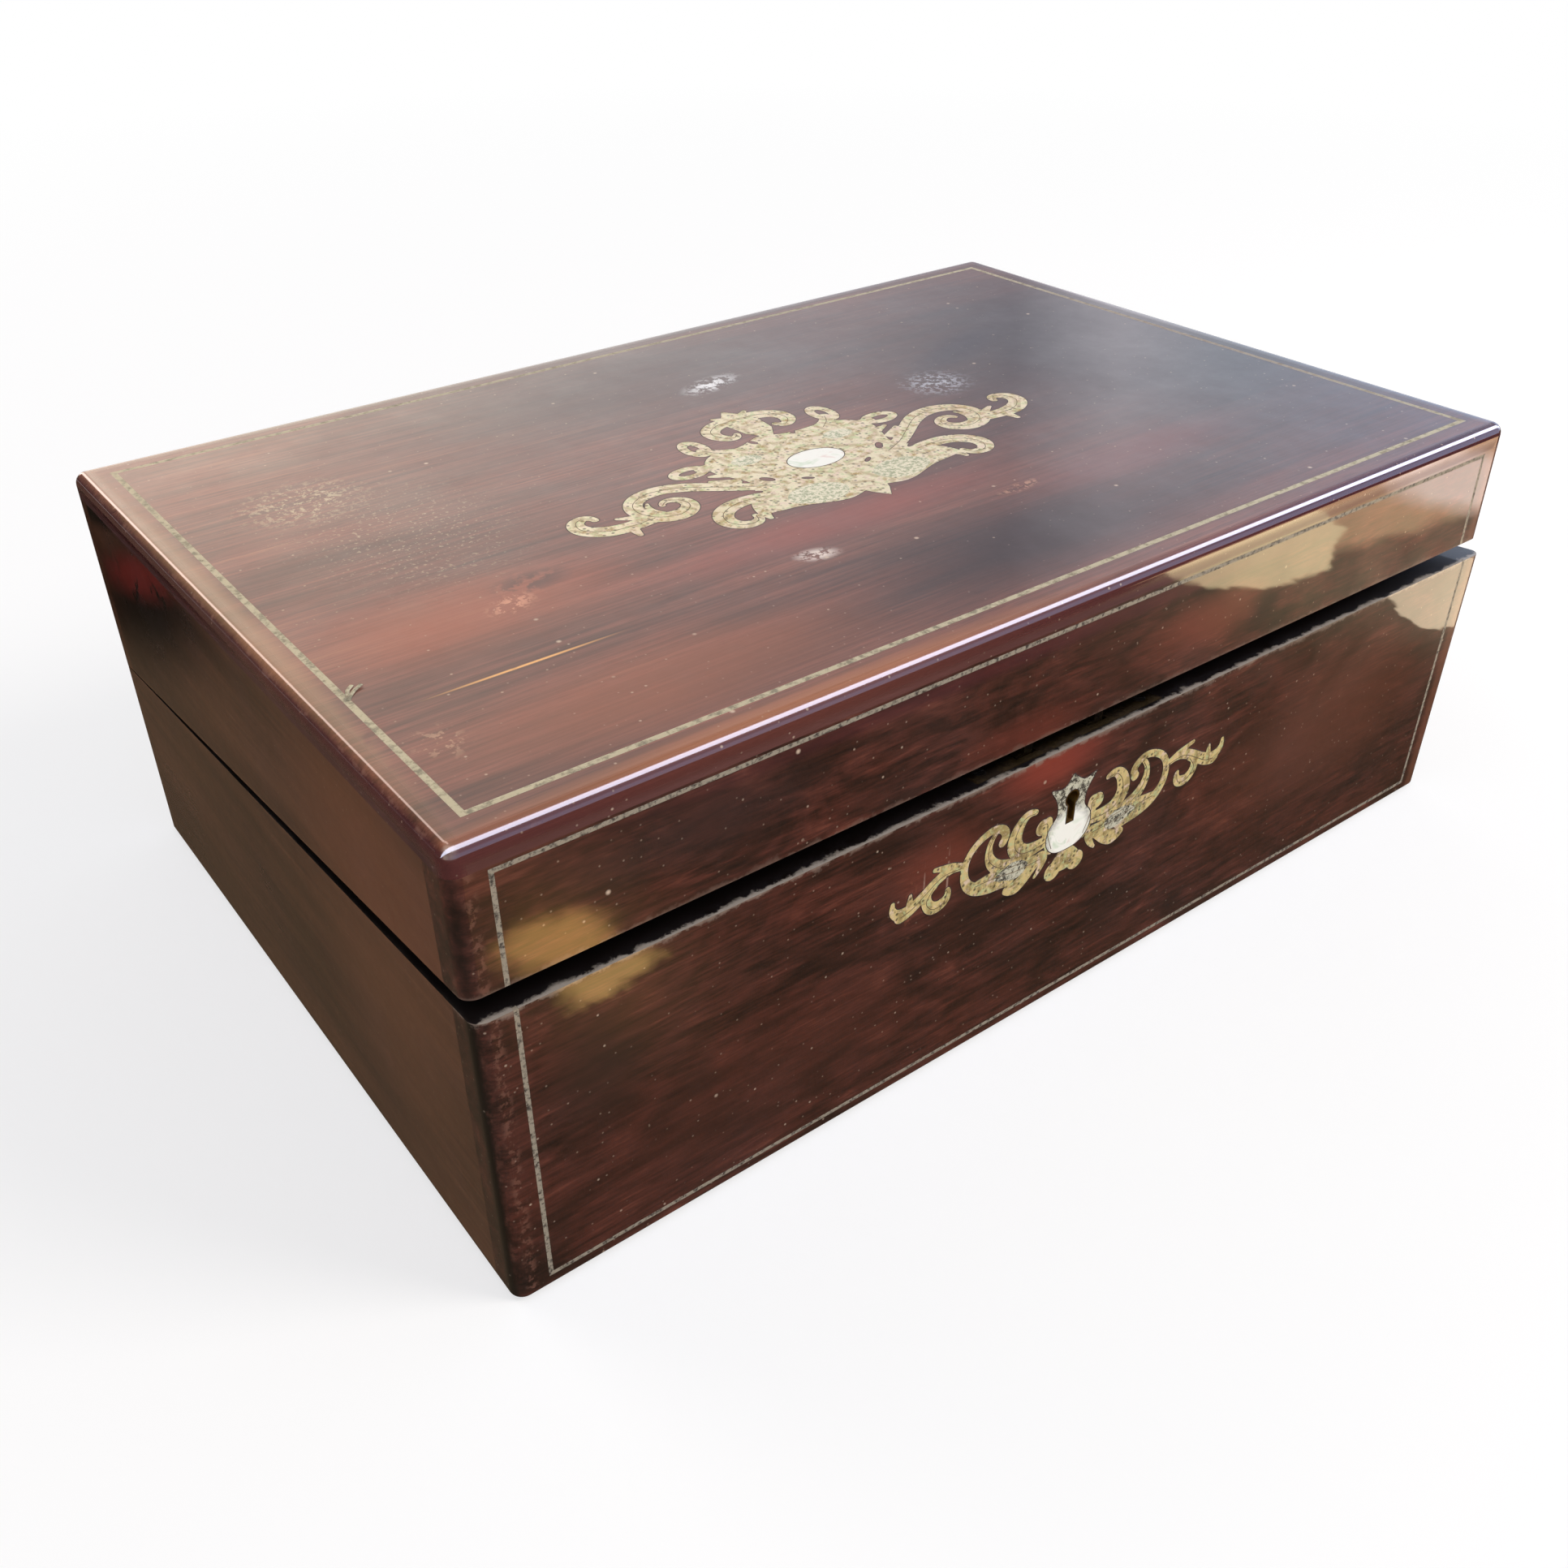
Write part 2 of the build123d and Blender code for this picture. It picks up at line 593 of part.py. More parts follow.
def writing_flap(free_y, sign):
    """Board, leather, tab and pivots of a flap from the fold to free_y; sign is -1 in the base."""
    free = (free_y - hinge_y) / cos_a + pivot_level * sin_a / cos_a + flap_side_gap
    low, high = sorted((sign * board_level, sign * (board_level + flap_thickness)))
    board = block(-flap_half, flap_half, free, fold_y, low, high)
    board += rod_x(-flap_half, flap_half, fold_y, sign * pivot_level, flap_radius)
    low, high = sorted((sign * leather_level, sign * board_level))
    leather = block(-flap_half + leather_margin, flap_half - leather_margin, free + leather_margin,
                    fold_y, low, high)
    low, high = sorted((sign * (leather_level - tab_thickness), sign * leather_level))
    tab = block(-tab_width / 2, tab_width / 2, free + leather_margin, free + leather_margin + tab_length,
                low, high)
    pivot = rod_x(flap_half - pivot_in_flap, inner_x + pivot_in_wall, fold_y, sign * pivot_level,
                  pivot_radius)
    pivots = both_sides(pivot)
    board = cut(board, *pivots)
    return [split_plane * item for item in (board, leather, tab, joined(pivots))]


def pivot_holes(sign):
    """Blind holes in the side walls for a flap's pivots."""
    hole = rod_x(inner_x - flap_side_gap / 2, inner_x + pivot_in_wall + pivot_end_gap, fold_y,
                 sign * pivot_level, pivot_radius + running_fit)
    return [split_plane * item for item in both_sides(hole)]


names = ("board", "leather", "tab", "pivots")
for name, shape in zip(names, writing_flap(riser_back, -1)):
    nodes[f"base_flap_{name}"] = shape
for name, shape in zip(names, writing_flap(lid_inner_front, 1)):
    nodes[f"lid_flap_{name}"] = shape
base_left = cut(base_left, *pivot_holes(-1))
base_right = cut(base_right, *pivot_holes(-1))
lid_left = cut(lid_left, *pivot_holes(1))
lid_right = cut(lid_right, *pivot_holes(1))

# Bearers that the flaps lie on
bearer_back = hinge_y + (fold_y - flap_radius - flap_side_gap) * cos_a - seat_level * sin_a


def bearer(y0, y1, sign):
    """A strip on the left wall under the base's flap, or over the lid's."""
    low, high = sorted((sign * seat_level, sign * (seat_level + bearer_height)))
    return slab(low, high) & block(-inner_x, -inner_x + bearer_width, y0, y1, 0, big)


nodes["base_bearer_left"], nodes["base_bearer_right"] = both_sides(
    bearer(partition_back, bearer_back, -1))
nodes["lid_bearer_left"], nodes["lid_bearer_right"] = both_sides(
    bearer(lid_inner_front + bearer_width, bearer_back, 1))
nodes["lid_bearer_front"] = slab(seat_level, seat_level + bearer_height) & block(
    -inner_x, inner_x, lid_inner_front, lid_inner_front + bearer_width, 0, big)

# Pen compartment: a long partition with a step for the flap, and dividers for the two ink bottles
partition_front = inner_front + compartment_depth
nodes["pen_partition"] = bar_x(-inner_x, inner_x, [
    (partition_front, floor_z), (partition_back, floor_z),
    (partition_back, split_z(partition_back, -seat_level)),
    (riser_back, split_z(riser_back, -seat_level)),
    (riser_back, split_z(riser_back, -rim - riser_drop)),
    (partition_front, split_z(partition_front, -rim - riser_drop)),
])
divider_x = inner_x - ink_well_width
divider = bar_x(-divider_x, -divider_x + divider_thickness, [
    (inner_front, floor_z), (partition_front, floor_z),
    (partition_front, split_z(partition_front, -divider_drop)),
    (inner_front, split_z(inner_front, -divider_drop)),
])
nodes["ink_divider_left"], nodes["ink_divider_right"] = both_sides(divider)
tray_half = divider_x - divider_thickness
tray_top = split_z(partition_front) - tray_drop
tray_low = tray_top - tray_height
nodes["pen_tray_rests"] = joined(both_sides(block(
    -tray_half, -tray_half + tray_rest, inner_front, partition_front, tray_low - tray_rest, tray_low)))
tray_y = (inner_front + partition_front) / 2
trough_radius = (trough_width ** 2 / 4 + trough_depth ** 2) / (2 * trough_depth)
tray = block(-tray_half + tray_gap, tray_half - tray_gap, inner_front + tray_gap,
             partition_front - tray_gap, tray_low, tray_top)
tray -= rod_x(-tray_half + tray_end, tray_half - tray_end, tray_y,
              tray_top - trough_depth + trough_radius, trough_radius)
nodes["pen_tray"] = tray

# Ink bottles with a brass collar and a cap that tips back
ink_x = inner_x - ink_well_width / 2
ink_y = tray_y - ink_forward
neck_z = floor_z + bottle_height
mouth_z = neck_z + neck_height
collar_radius = neck_radius + collar_wall
cap_radius = collar_radius + cap_overhang
cap_axis_y = ink_y + cap_radius + cap_knuckle_radius
cap_low = mouth_z + cap_gap
cap_high = cap_low + cap_skirt
cap_axis_z = cap_low

glass = block(ink_x - bottle_size / 2, ink_x + bottle_size / 2, ink_y - bottle_size / 2,
              ink_y + bottle_size / 2, floor_z, neck_z)
glass = fillet(glass.edges().filter_by(Axis.Z), bottle_corner)
glass = chamfer(glass.faces().sort_by(Axis.Z)[-1].edges(), bottle_shoulder)
glass += Pos(ink_x, ink_y, neck_z + neck_height / 2) * Cylinder(neck_radius, neck_height)
well_size = bottle_size - 2 * bottle_wall
well = block(ink_x - well_size / 2, ink_x + well_size / 2, ink_y - well_size / 2,
             ink_y + well_size / 2, floor_z + bottle_wall, neck_z - bottle_wall)
well += Pos(ink_x, ink_y, (neck_z + mouth_z) / 2) * Cylinder(mouth_radius, neck_height + 2 * bottle_wall)
glass -= well

# The collar clasps the neck below the cap and carries the two outer knuckles
knuckle_half = cap_knuckle_length / 2
collar_low = mouth_z - collar_height
collar = Pos(ink_x, ink_y, (collar_low + mouth_z) / 2) * Cylinder(collar_radius, collar_height)
lug = block(ink_x - 3 * knuckle_half, ink_x + 3 * knuckle_half, ink_y + neck_radius,
            cap_axis_y, mouth_z - cap_knuckle_length, mouth_z)
lug += rod_x(ink_x - 3 * knuckle_half, ink_x + 3 * knuckle_half, cap_axis_y, cap_axis_z, cap_knuckle_radius)
middle_room = block(ink_x - knuckle_half - cap_knuckle_gap, ink_x + knuckle_half + cap_knuckle_gap,
                    cap_axis_y - cap_knuckle_radius - cap_gap, big,
                    cap_axis_z - cap_knuckle_radius - cap_gap, big)
collar = collar + lug - middle_room
cap_sweep = Pos(ink_x, ink_y, (mouth_z + height) / 2) * Cylinder(cap_radius + cap_gap, height - mouth_z)
collar = collar - cap_sweep
collar -= Pos(ink_x, ink_y, mouth_z) * Cylinder(neck_radius + collar_fit, 4 * collar_height)
collar -= rod_x(ink_x - big, ink_x + big, cap_axis_y, cap_axis_z, cap_pin_radius)

dome_radius = (cap_radius ** 2 + cap_dome ** 2) / (2 * cap_dome)
cap = Pos(ink_x, ink_y, (cap_low + cap_high) / 2) * Cylinder(cap_radius, cap_skirt)
dome = Pos(ink_x, ink_y, cap_high + cap_dome - dome_radius) * Sphere(dome_radius)
cap += dome & block(-big, big, -big, big, cap_high, big)
cap += block(ink_x - knuckle_half, ink_x + knuckle_half, ink_y, cap_axis_y, cap_low, cap_high)
cap += rod_x(ink_x - knuckle_half, ink_x + knuckle_half, cap_axis_y, cap_axis_z, cap_knuckle_radius)
cap -= rod_x(ink_x - big, ink_x + big, cap_axis_y, cap_axis_z, cap_pin_radius + running_fit)
cap_pin = rod_x(ink_x - 3 * knuckle_half, ink_x + 3 * knuckle_half, cap_axis_y, cap_axis_z, cap_pin_radius)

for name, shape in (("bottle", glass), ("collar", collar), ("cap", cap), ("cap_pin", cap_pin)):
    right, left = both_sides(shape)
    nodes[f"ink_{name}_left"] = left
    nodes[f"ink_{name}_right"] = right

# Walls with everything let into them
liner_bed = keyhole(liner_wall, -half_depth, case_front)
nodes["base_front_panel"] = cut(
    base_front, foot_line, scrolls, shield, liner_bed, case_outer, selvedge_bed, *lock_screws)
nodes["base_back_panel"] = base_back
nodes["base_left_panel"] = base_left
nodes["base_right_panel"] = base_right
nodes["lid_top_board"] = cut(lid_top, top_line, cartouche_bed)
nodes["lid_front_panel"] = cut(lid_front_wall, lid_line, hook_plate, *hook_screws)
nodes["lid_back_panel"] = lid_back_wall
nodes["lid_left_panel"] = lid_left
nodes["lid_right_panel"] = lid_right
nodes["lid_top_stringing"] = top_line
nodes["lid_front_stringing"] = lid_line
nodes["base_front_stringing"] = foot_line
nodes["lid_cartouche"] = cartouche
nodes["lid_pearl"] = lid_pearl
nodes["escutcheon_scrolls"] = scrolls
nodes["escutcheon_pearl"] = joined([cut(piece, liner_bed) for piece in shields])
nodes["keyhole_liner"] = liner
nodes["lock_case"] = lock_case
nodes["lock_key_pin"] = key_pin
nodes["lock_bolt"] = bolt
nodes["lock_selvedge"] = cut(selvedge, *lock_screws)
nodes["lock_screws"] = joined(lock_screws)
nodes["lid_hook_plate"] = cut(hook_plate, *hook_screws)
nodes["lid_hook_screws"] = joined(hook_screws)

# The lid and all it carries stand ajar about the hinge axis
ajar = Pos(0, hinge_y, hinge_z) * Rot(X=-ajar_angle) * Pos(0, -hinge_y, -hinge_z)
for name in nodes:
    if name.startswith("lid_"):
        nodes[name] = ajar * nodes[name]

for name, shape in nodes.items():
    export_step(shape, f"parts/{name}.step")
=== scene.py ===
"""Looks of a Victorian French-polished rosewood writing slope, closed with its lid ajar.

Here they get their finishes, and the pieces that are too fine for the solids are added: engraved lines
and the dark mastic round the inlays, slotted screws, the gilt tooling of the writing leather and a
lifted sliver of the stringing. Metres throughout, +Z up, the lock side at -Y. Patterns, marks and lines
are given in millimetres.
"""

import logging
import math
from dataclasses import asdict, dataclass, replace
from enum import Enum
from functools import cache

import bmesh
import bpy
from mathutils import Matrix, Vector


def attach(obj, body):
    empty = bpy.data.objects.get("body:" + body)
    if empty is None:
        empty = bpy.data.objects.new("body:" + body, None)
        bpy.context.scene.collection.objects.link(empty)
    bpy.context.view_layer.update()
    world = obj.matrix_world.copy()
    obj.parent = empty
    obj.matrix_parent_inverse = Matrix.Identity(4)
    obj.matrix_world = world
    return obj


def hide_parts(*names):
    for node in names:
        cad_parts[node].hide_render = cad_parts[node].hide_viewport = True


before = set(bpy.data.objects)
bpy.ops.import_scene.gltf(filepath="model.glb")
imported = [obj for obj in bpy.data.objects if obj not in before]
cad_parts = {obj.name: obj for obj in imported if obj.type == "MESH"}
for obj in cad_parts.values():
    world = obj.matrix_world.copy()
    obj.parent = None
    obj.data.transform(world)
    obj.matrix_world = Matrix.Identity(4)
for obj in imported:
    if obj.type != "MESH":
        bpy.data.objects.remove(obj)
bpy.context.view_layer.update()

log = logging.getLogger("writing_slope")
Tree, Node, Socket = bpy.types.NodeTree, bpy.types.Node, bpy.types.NodeSocket
Object, Material = bpy.types.Object, bpy.types.Material
MM = 0.001
METRE = 1000.0      # in millimetres: divided by a pattern's size, it gives the pattern's scale

# The box's own sizes, in metres, as the solids have them
HALF_WIDTH, HALF_DEPTH, HEIGHT = 0.178, 0.119, 0.127
HOLLOW = (0.16915, 0.1102, 0.12015)     # half the width and depth inside the boards, and the top's underside
HINGE = Vector((0.0, 0.1195, 0.0635))
SLANT = math.atan2(26.0, 238.0)
AJAR = math.radians(1.1)
AJAR_TURN = Matrix.Rotation(-AJAR, 3, "X")
SPLIT_UP = Vector((0.0, math.sin(SLANT), math.cos(SLANT)))     # square to the split between base and lid
LID_UP = AJAR_TURN @ Vector((0.0, 0.0, 1.0))
FRONT_OUT = Vector((0.0, -1.0, 0.0))
SQUARE_ON = 0.999           # cosine past which a face counts as one of the rims along the split
RIM_REACH = 0.0004          # how far from the split a rim can lie
SLOT_STEP = 2.399           # radians from one screw's slot to the next one's, so that no two line up

# The setting that follows the colon in a node's kind, as in "Math:ADD"
SETTING = {"Math": "operation", "VectorMath": "operation", "Mix": "data_type", "Mapping": "vector_type"}


def linear(code: str) -> tuple[float, float, float, float]:
    """Turns an sRGB hex colour into linear light.

    Args:
        code: the colour as #RRGGBB.

    Returns:
        Red, green, blue and alpha, linear.
    """
    parts = [int(code[place:place + 2], 16) / 255 for place in (1, 3, 5)]
    light = [part / 12.92 if part <= 0.04045 else ((part + 0.055) / 1.055) ** 2.4 for part in parts]
    return (light[0], light[1], light[2], 1.0)


def add(tree: Tree, kind: str, *values: object, named: dict | None = None, stops: tuple = (),
        **settings: object) -> Node:
    """Adds one node to a tree, with its settings, values and links.

    Args:
        tree: the material's, world's or geometry's tree.
        kind: the node's type name, without ShaderNode, and its main setting after a colon.
        values: for the inputs in use, in their order: a value, a hex colour, another node, which stands
            for its first output in use, or one of its outputs. None leaves an input as it is.
        named: the same by the inputs' names.
        stops: places and hex colours of a colour ramp.
        settings: the node's other properties.

    Returns:
        The new node.
    """
    kind, _, setting = kind.partition(":")
    node = tree.nodes.new(kind if "Node" in kind else "ShaderNode" + kind)
    if setting:
        settings[SETTING[kind]] = setting
    for name, value in settings.items():
        setattr(node, name, value)
    for index, (place, code) in enumerate(stops):
        elements = node.color_ramp.elements
        element = elements[index] if index < 2 else elements.new(place)
        element.position = place
        element.color = linear(code)
    given = list(zip([socket for socket in node.inputs if socket.enabled], values))
    given += [(node.inputs[name], value) for name, value in (named or {}).items()]
    for socket, value in given:
        if isinstance(value, Node):
            value = next(output for output in value.outputs if output.enabled)
        if isinstance(value, Socket):
            tree.links.new(value, socket)
        elif value is not None:
            is_colour = isinstance(value, str) and value.startswith("#")
            socket.default_value = linear(value) if is_colour else value
    return node


def new_material(name: str) -> tuple[Material, Tree]:
    """Starts an empty node material.

    Args:
        name: the material's name.

    Returns:
        The material and its tree.
    """
    material = bpy.data.materials.new(name)
    material.use_nodes = True
    material.node_tree.nodes.clear()
    return material, material.node_tree


class Grain(Enum):
    """Which way the fibres of a board run."""

    ALONG_X = (1, 0, 0)
    ALONG_Y = (0, 1, 0)

    def scale(self, length: float, width: float) -> tuple[float, float, float]:
        """Pattern scale for figure of this length and width in millimetres."""
        return tuple(METRE / (length if along else width) for along in self.value)


@dataclass(frozen=True)
class Mark:
    """A stain, scuff or patch of colour at one place of a surface, in millimetres and degrees."""

    place: tuple[float, float, float]
    reach: tuple[float, float, float]
    colour: str
    strength: float
    turn: float = 0.0
    grit: float = 0.0      # size of its broken-up texture; 0 for a smooth patch
    cover: float = 0.5     # share of the patch that its broken-up texture covers
    lean: float = 0.0      # turn about X, for marks on the sides

    def over(self, tree: Tree, place: Socket, colour: Node) -> Node:
        """Lays the mark over a surface's colour.

        Args:
            tree: the material's tree.
            place: the object coordinates.
            colour: the colour so far.

        Returns:
            The new colour.
        """
        local = add(tree, "Mapping:TEXTURE", place, [MM * value for value in self.place],
                    (math.radians(self.lean), 0.0, math.radians(self.turn)),
                    [MM * value for value in self.reach])
        share = add(tree, "MapRange", add(tree, "VectorMath:LENGTH", local), 0.15, 1.0,
                    self.strength, 0.0, interpolation_type="SMOOTHSTEP")
        if self.grit:
            scrape = add(tree, "Mapping", local, None, None, [value / self.grit for value in self.reach])
            broken = add(tree, "TexNoise", scrape, 0.7, 3.0, 0.65)
            kept = add(tree, "MapRange", broken, 0.62 - 0.22 * self.cover, 0.70 - 0.22 * self.cover)
            share = add(tree, "Math:MULTIPLY", share, kept)
        return add(tree, "Mix:RGBA", share, colour, self.colour)


class Face(Enum):
    """A face that bears marks: the axis across it, its place on that axis and the marks' reach there."""

    TOP = (2, 129, 60)
    BASE_FRONT = (1, -119, 30)
    LID_FRONT = (1, -117, 30)
    LEFT = (0, -178, 30)

    def marks(self, *rows: tuple) -> tuple[Mark, ...]:
        """Reads marks from rows.

        Args:
            rows: a mark's place and reach along the face's own two axes, then the rest of a Mark.

        Returns:
            The marks.
        """
        axis, level, depth = self.value
        made = []
        for row in rows:
            place, reach = list(row[:2]), list(row[2:4])
            place.insert(axis, level)
            reach.insert(axis, depth)
            made.append(Mark(tuple(place), tuple(reach), *row[4:]))
        return tuple(made)


@dataclass(frozen=True)
class Finish:
    """How a surface looks. Each kind of stuff fills in its own look."""

    name: str

    def look(self, tree: Tree, place: Socket, normal: Socket) -> dict[str, object]:
        """Builds the pattern.

        Args:
            tree: the material's tree.
            place: the object coordinates.
            normal: the surface's normal.

        Returns:
            What the shader's inputs get, by name.
        """
        raise NotImplementedError

    @cache
    def material(self) -> Material:
        """Builds the material, once for all finishes that are equal.

        Returns:
            The material.
        """
        material, tree = new_material(self.name)
        spot = add(tree, "TexCoord").outputs
        look = self.look(tree, spot["Object"], spot["Normal"])
        add(tree, "OutputMaterial", add(tree, "BsdfPrincipled", named=look))
        return material


@dataclass(frozen=True)
class FrenchPolishedRosewood(Finish):
    """Rosewood veneer under old French polish.

    To the eye: near-black streaks on red-brown, long fine pores, and a glassy skin that has gone hazy
    where it was handled and thin at the arrises. The rims along the split are painted black, as painted shade
    for the dark gap between lid and base, and the inside is oiled only.
    """

    grain: Grain
    ground: tuple[str, str, str, str]       # from the blackest streak to the lightest wood
    cloud: tuple[float, float] = (230.0, 60.0)      # length and width of the broad patches
    figure: tuple[float, float] = (140.0, 7.0)      # of the dark veins
    streak: tuple[float, float] = (70.0, 0.9)       # of the fine fibres
    weights: tuple[float, float, float] = (0.45, 0.25, 0.30)
    swirl: float = 0.6
    spread: float = 0.12         # small for strong figure, large for quiet wood
    pore: float = 0.5
    polish: float = 0.22
    coat: float = 1.0
    coat_roughness: float = 0.08
    arris_polish: float = 1.0    # roughest that the skin may be within a few millimetres of an arris
    relief: float = 0.3          # how far the ripples and pores bend what the polish mirrors
    worn: str = "#8A5A3C"
    wear: float = 0.25
    rim_worn: str = "#8A5A3C"
    rim_wear: float = 0.7
    specks: float = 0.5
    inside: str = "#4A2818"
    edge: str = ""               # colour of the board's own edges, below the arris, where it differs
    marks: tuple[Mark, ...] = ()
    lid: bool = False
    offset: tuple[float, float, float] = (0.0, 0.0, 0.0)

    def look(self, tree: Tree, place: Socket, normal: Socket) -> dict[str, object]:
        """Grows the wood, marks and wears it and lays the polish on.

        Args:
            tree: the material's tree.
            place: the object coordinates.
            normal: the surface's normal.

        Returns:
            What the shader's inputs get, by name.
        """
        wood, fibre = self._grown(tree, place)
        for mark in self.marks:
            wood = mark.over(tree, place, wood)
        turned = self._in_own_place(tree, place)
        if self.edge:
            upright = add(tree, "SeparateXYZ", normal).outputs[2]
            share = add(tree, "MapRange", upright, 0.62, 0.88, 0.8, 0.0)
            wood = add(tree, "Mix:RGBA", share, wood, self.edge)
        wood, bare, edge = self._worn(tree, place, turned, wood)
        wood = self._specked(tree, place, wood)
        wood, hidden, skinned = self._unpolished_and_gap_shaded(tree, normal, turned, wood)
        # The polish is uneven where hands and sleeves have rubbed it
        rub = add(tree, "TexNoise", place, METRE / 45.0, 6.0, 0.65)
        sheen = add(tree, "MapRange", rub, 0.35, 0.7, self.polish * 0.8, self.polish * 1.4)
        crisp = add(tree, "MapRange", edge, 0.0035, 0.009, self.arris_polish, 1.0)
        sheen = add(tree, "Math:MINIMUM", sheen, crisp)
        for rough in (bare, hidden):
            sheen = add(tree, "Math:MAXIMUM", sheen, rough)
        # The polish lies over slow ripples in the veneer, 20 mm apart, and sinks a little into the pores
        ripple = add(tree, "TexNoise", place, METRE / 20.0, 2.0)
        height = add(tree, "Math:MULTIPLY_ADD", fibre, 0.008, ripple)
        relief = add(tree, "Bump", self.relief, 0.0004, None, height)
        return {"Base Color": wood, "Roughness": sheen, "IOR": 1.5, "Coat Weight": skinned,
                "Coat Roughness": self.coat_roughness, "Coat IOR": 1.5, "Normal": relief,
                "Coat Normal": relief}

    def _grown(self, tree: Tree, place: Socket) -> tuple[Node, Node]:
        """Grows the veneer out of broad clouds, dark veins, fibres and pores.

        Args:
            tree: the material's tree.
            place: the object coordinates.

        Returns:
            The colour, and the pores as a height.
        """
        seed = add(tree, "Mapping", place, self.offset)
        value = 0.0
        for size, weight, detail, swirl in (
                (self.cloud, self.weights[0], 3.0, self.swirl),
                (self.figure, self.weights[1], 4.0, self.swirl * 0.6),
                (self.streak, self.weights[2], 3.0, 0.2)):
            mapped = add(tree, "Mapping", seed, None, None, self.grain.scale(*size))
            noise = add(tree, "TexNoise", mapped, 1.0, detail, 0.6, None, swirl)
            value = add(tree, "Math:MULTIPLY_ADD", noise, weight, value)
        black, brown, red, light = self.ground
        wood = add(tree, "ValToRGB", value, stops=(
            (0.5 - self.spread, black), (0.5 - self.spread * 0.25, brown),
            (0.5 + self.spread * 0.35, red), (0.5 + self.spread, light)))
        # Pores: short dark dashes, real ones 0.1 mm wide, drawn 0.35 mm wide so that they show
        fine = add(tree, "Mapping", seed, None, None, self.grain.scale(7.0, 0.35))
        dash = add(tree, "TexNoise", fine, 1.0, 1.0, 0.4)
        pores = add(tree, "MapRange", dash, 0.30, 0.44, self.pore, 0.0)
        return add(tree, "Mix:RGBA", pores, wood, black), dash

    def _in_own_place(self, tree: Tree, place: Socket) -> Socket | Node:
        """Turns the ajar lid's coordinates back to the shut lid's; the base's stay as they are.

        Args:
            tree: the material's tree.
            place: the object coordinates.

        Returns:
            The coordinates in which the box is square and shut.
        """
        if not self.lid:
            return place
        turned = add(tree, "Mapping:TEXTURE", place, HINGE, (-AJAR, 0.0, 0.0))
        return add(tree, "VectorMath:ADD", turned, HINGE)

    def _rim(self, tree: Tree, turned: Socket | Node) -> Node:
        """Gives the distance from the slanted split between base and lid."""
        level = add(tree, "VectorMath:DOT_PRODUCT", turned, SPLIT_UP)
        return add(tree, "Math:ABSOLUTE", add(tree, "Math:SUBTRACT", level, HINGE.dot(SPLIT_UP)))

    def _worn(self, tree: Tree, place: Socket, turned: Socket | Node, wood: Node) -> tuple[
            Node, Node, Node]:
        """Rubs the polish off along the outer arrises and the rim.

        Args:
            tree: the material's tree.
            place: the object coordinates.
            turned: the same with the lid shut.
            wood: the colour so far.

        Returns:
            The new colour, how rough the bared wood is, and the distance from the nearest arris.
        """
        size = add(tree, "VectorMath:ABSOLUTE", turned)
        left = add(tree, "VectorMath:SUBTRACT", (HALF_WIDTH, HALF_DEPTH, HEIGHT), size)
        x, y, z = add(tree, "SeparateXYZ", left).outputs
        rest = add(tree, "Math:MINIMUM", add(tree, "Math:MAXIMUM", x, y), z)
        edge = add(tree, "Math:MAXIMUM", add(tree, "Math:MINIMUM", x, y), rest)
        ragged = add(tree, "TexNoise", place, METRE / 6.0, 5.0, 0.75)
        reach = add(tree, "MapRange", ragged, 0.40, 0.68, 0.0002, 0.0026)
        parts = []
        for far, share, code in ((edge, self.wear, self.worn),
                                 (self._rim(tree, turned), self.rim_wear, self.rim_worn)):
            part = add(tree, "MapRange", add(tree, "Math:DIVIDE", far, reach), 0.2, 1.0, share, 0.0)
            wood = add(tree, "Mix:RGBA", part, wood, code)
            parts.append(part)
        bare = add(tree, "Math:MAXIMUM", *parts)
        return wood, add(tree, "Math:MULTIPLY", bare, 0.6), edge

    def _specked(self, tree: Tree, place: Socket, wood: Node) -> Node:
        """Scatters pale dints: many of a third of a millimetre, few of nearly one.

        Args:
            tree: the material's tree.
            place: the object coordinates.
            wood: the colour so far.

        Returns:
            The new colour.
        """
        for pitch, rare, radius, strength in ((2.4, 0.20, 0.10, 0.30), (4.5, 0.18, 0.07, 0.55),
                                              (13.0, 0.16, 0.045, 0.8)):
            cells = add(tree, "TexVoronoi", place, METRE / pitch).outputs
            tone = add(tree, "SeparateColor", cells["Color"])
            chosen = add(tree, "Math:GREATER_THAN", tone, 1.0 - rare * 2.0 * self.specks)
            small = add(tree, "MapRange", cells["Distance"], radius * 0.5, radius * 1.4, strength, 0.0)
            share = add(tree, "Math:MULTIPLY", chosen, small)
            wood = add(tree, "Mix:RGBA", share, wood, "#C9B29A")
        return wood

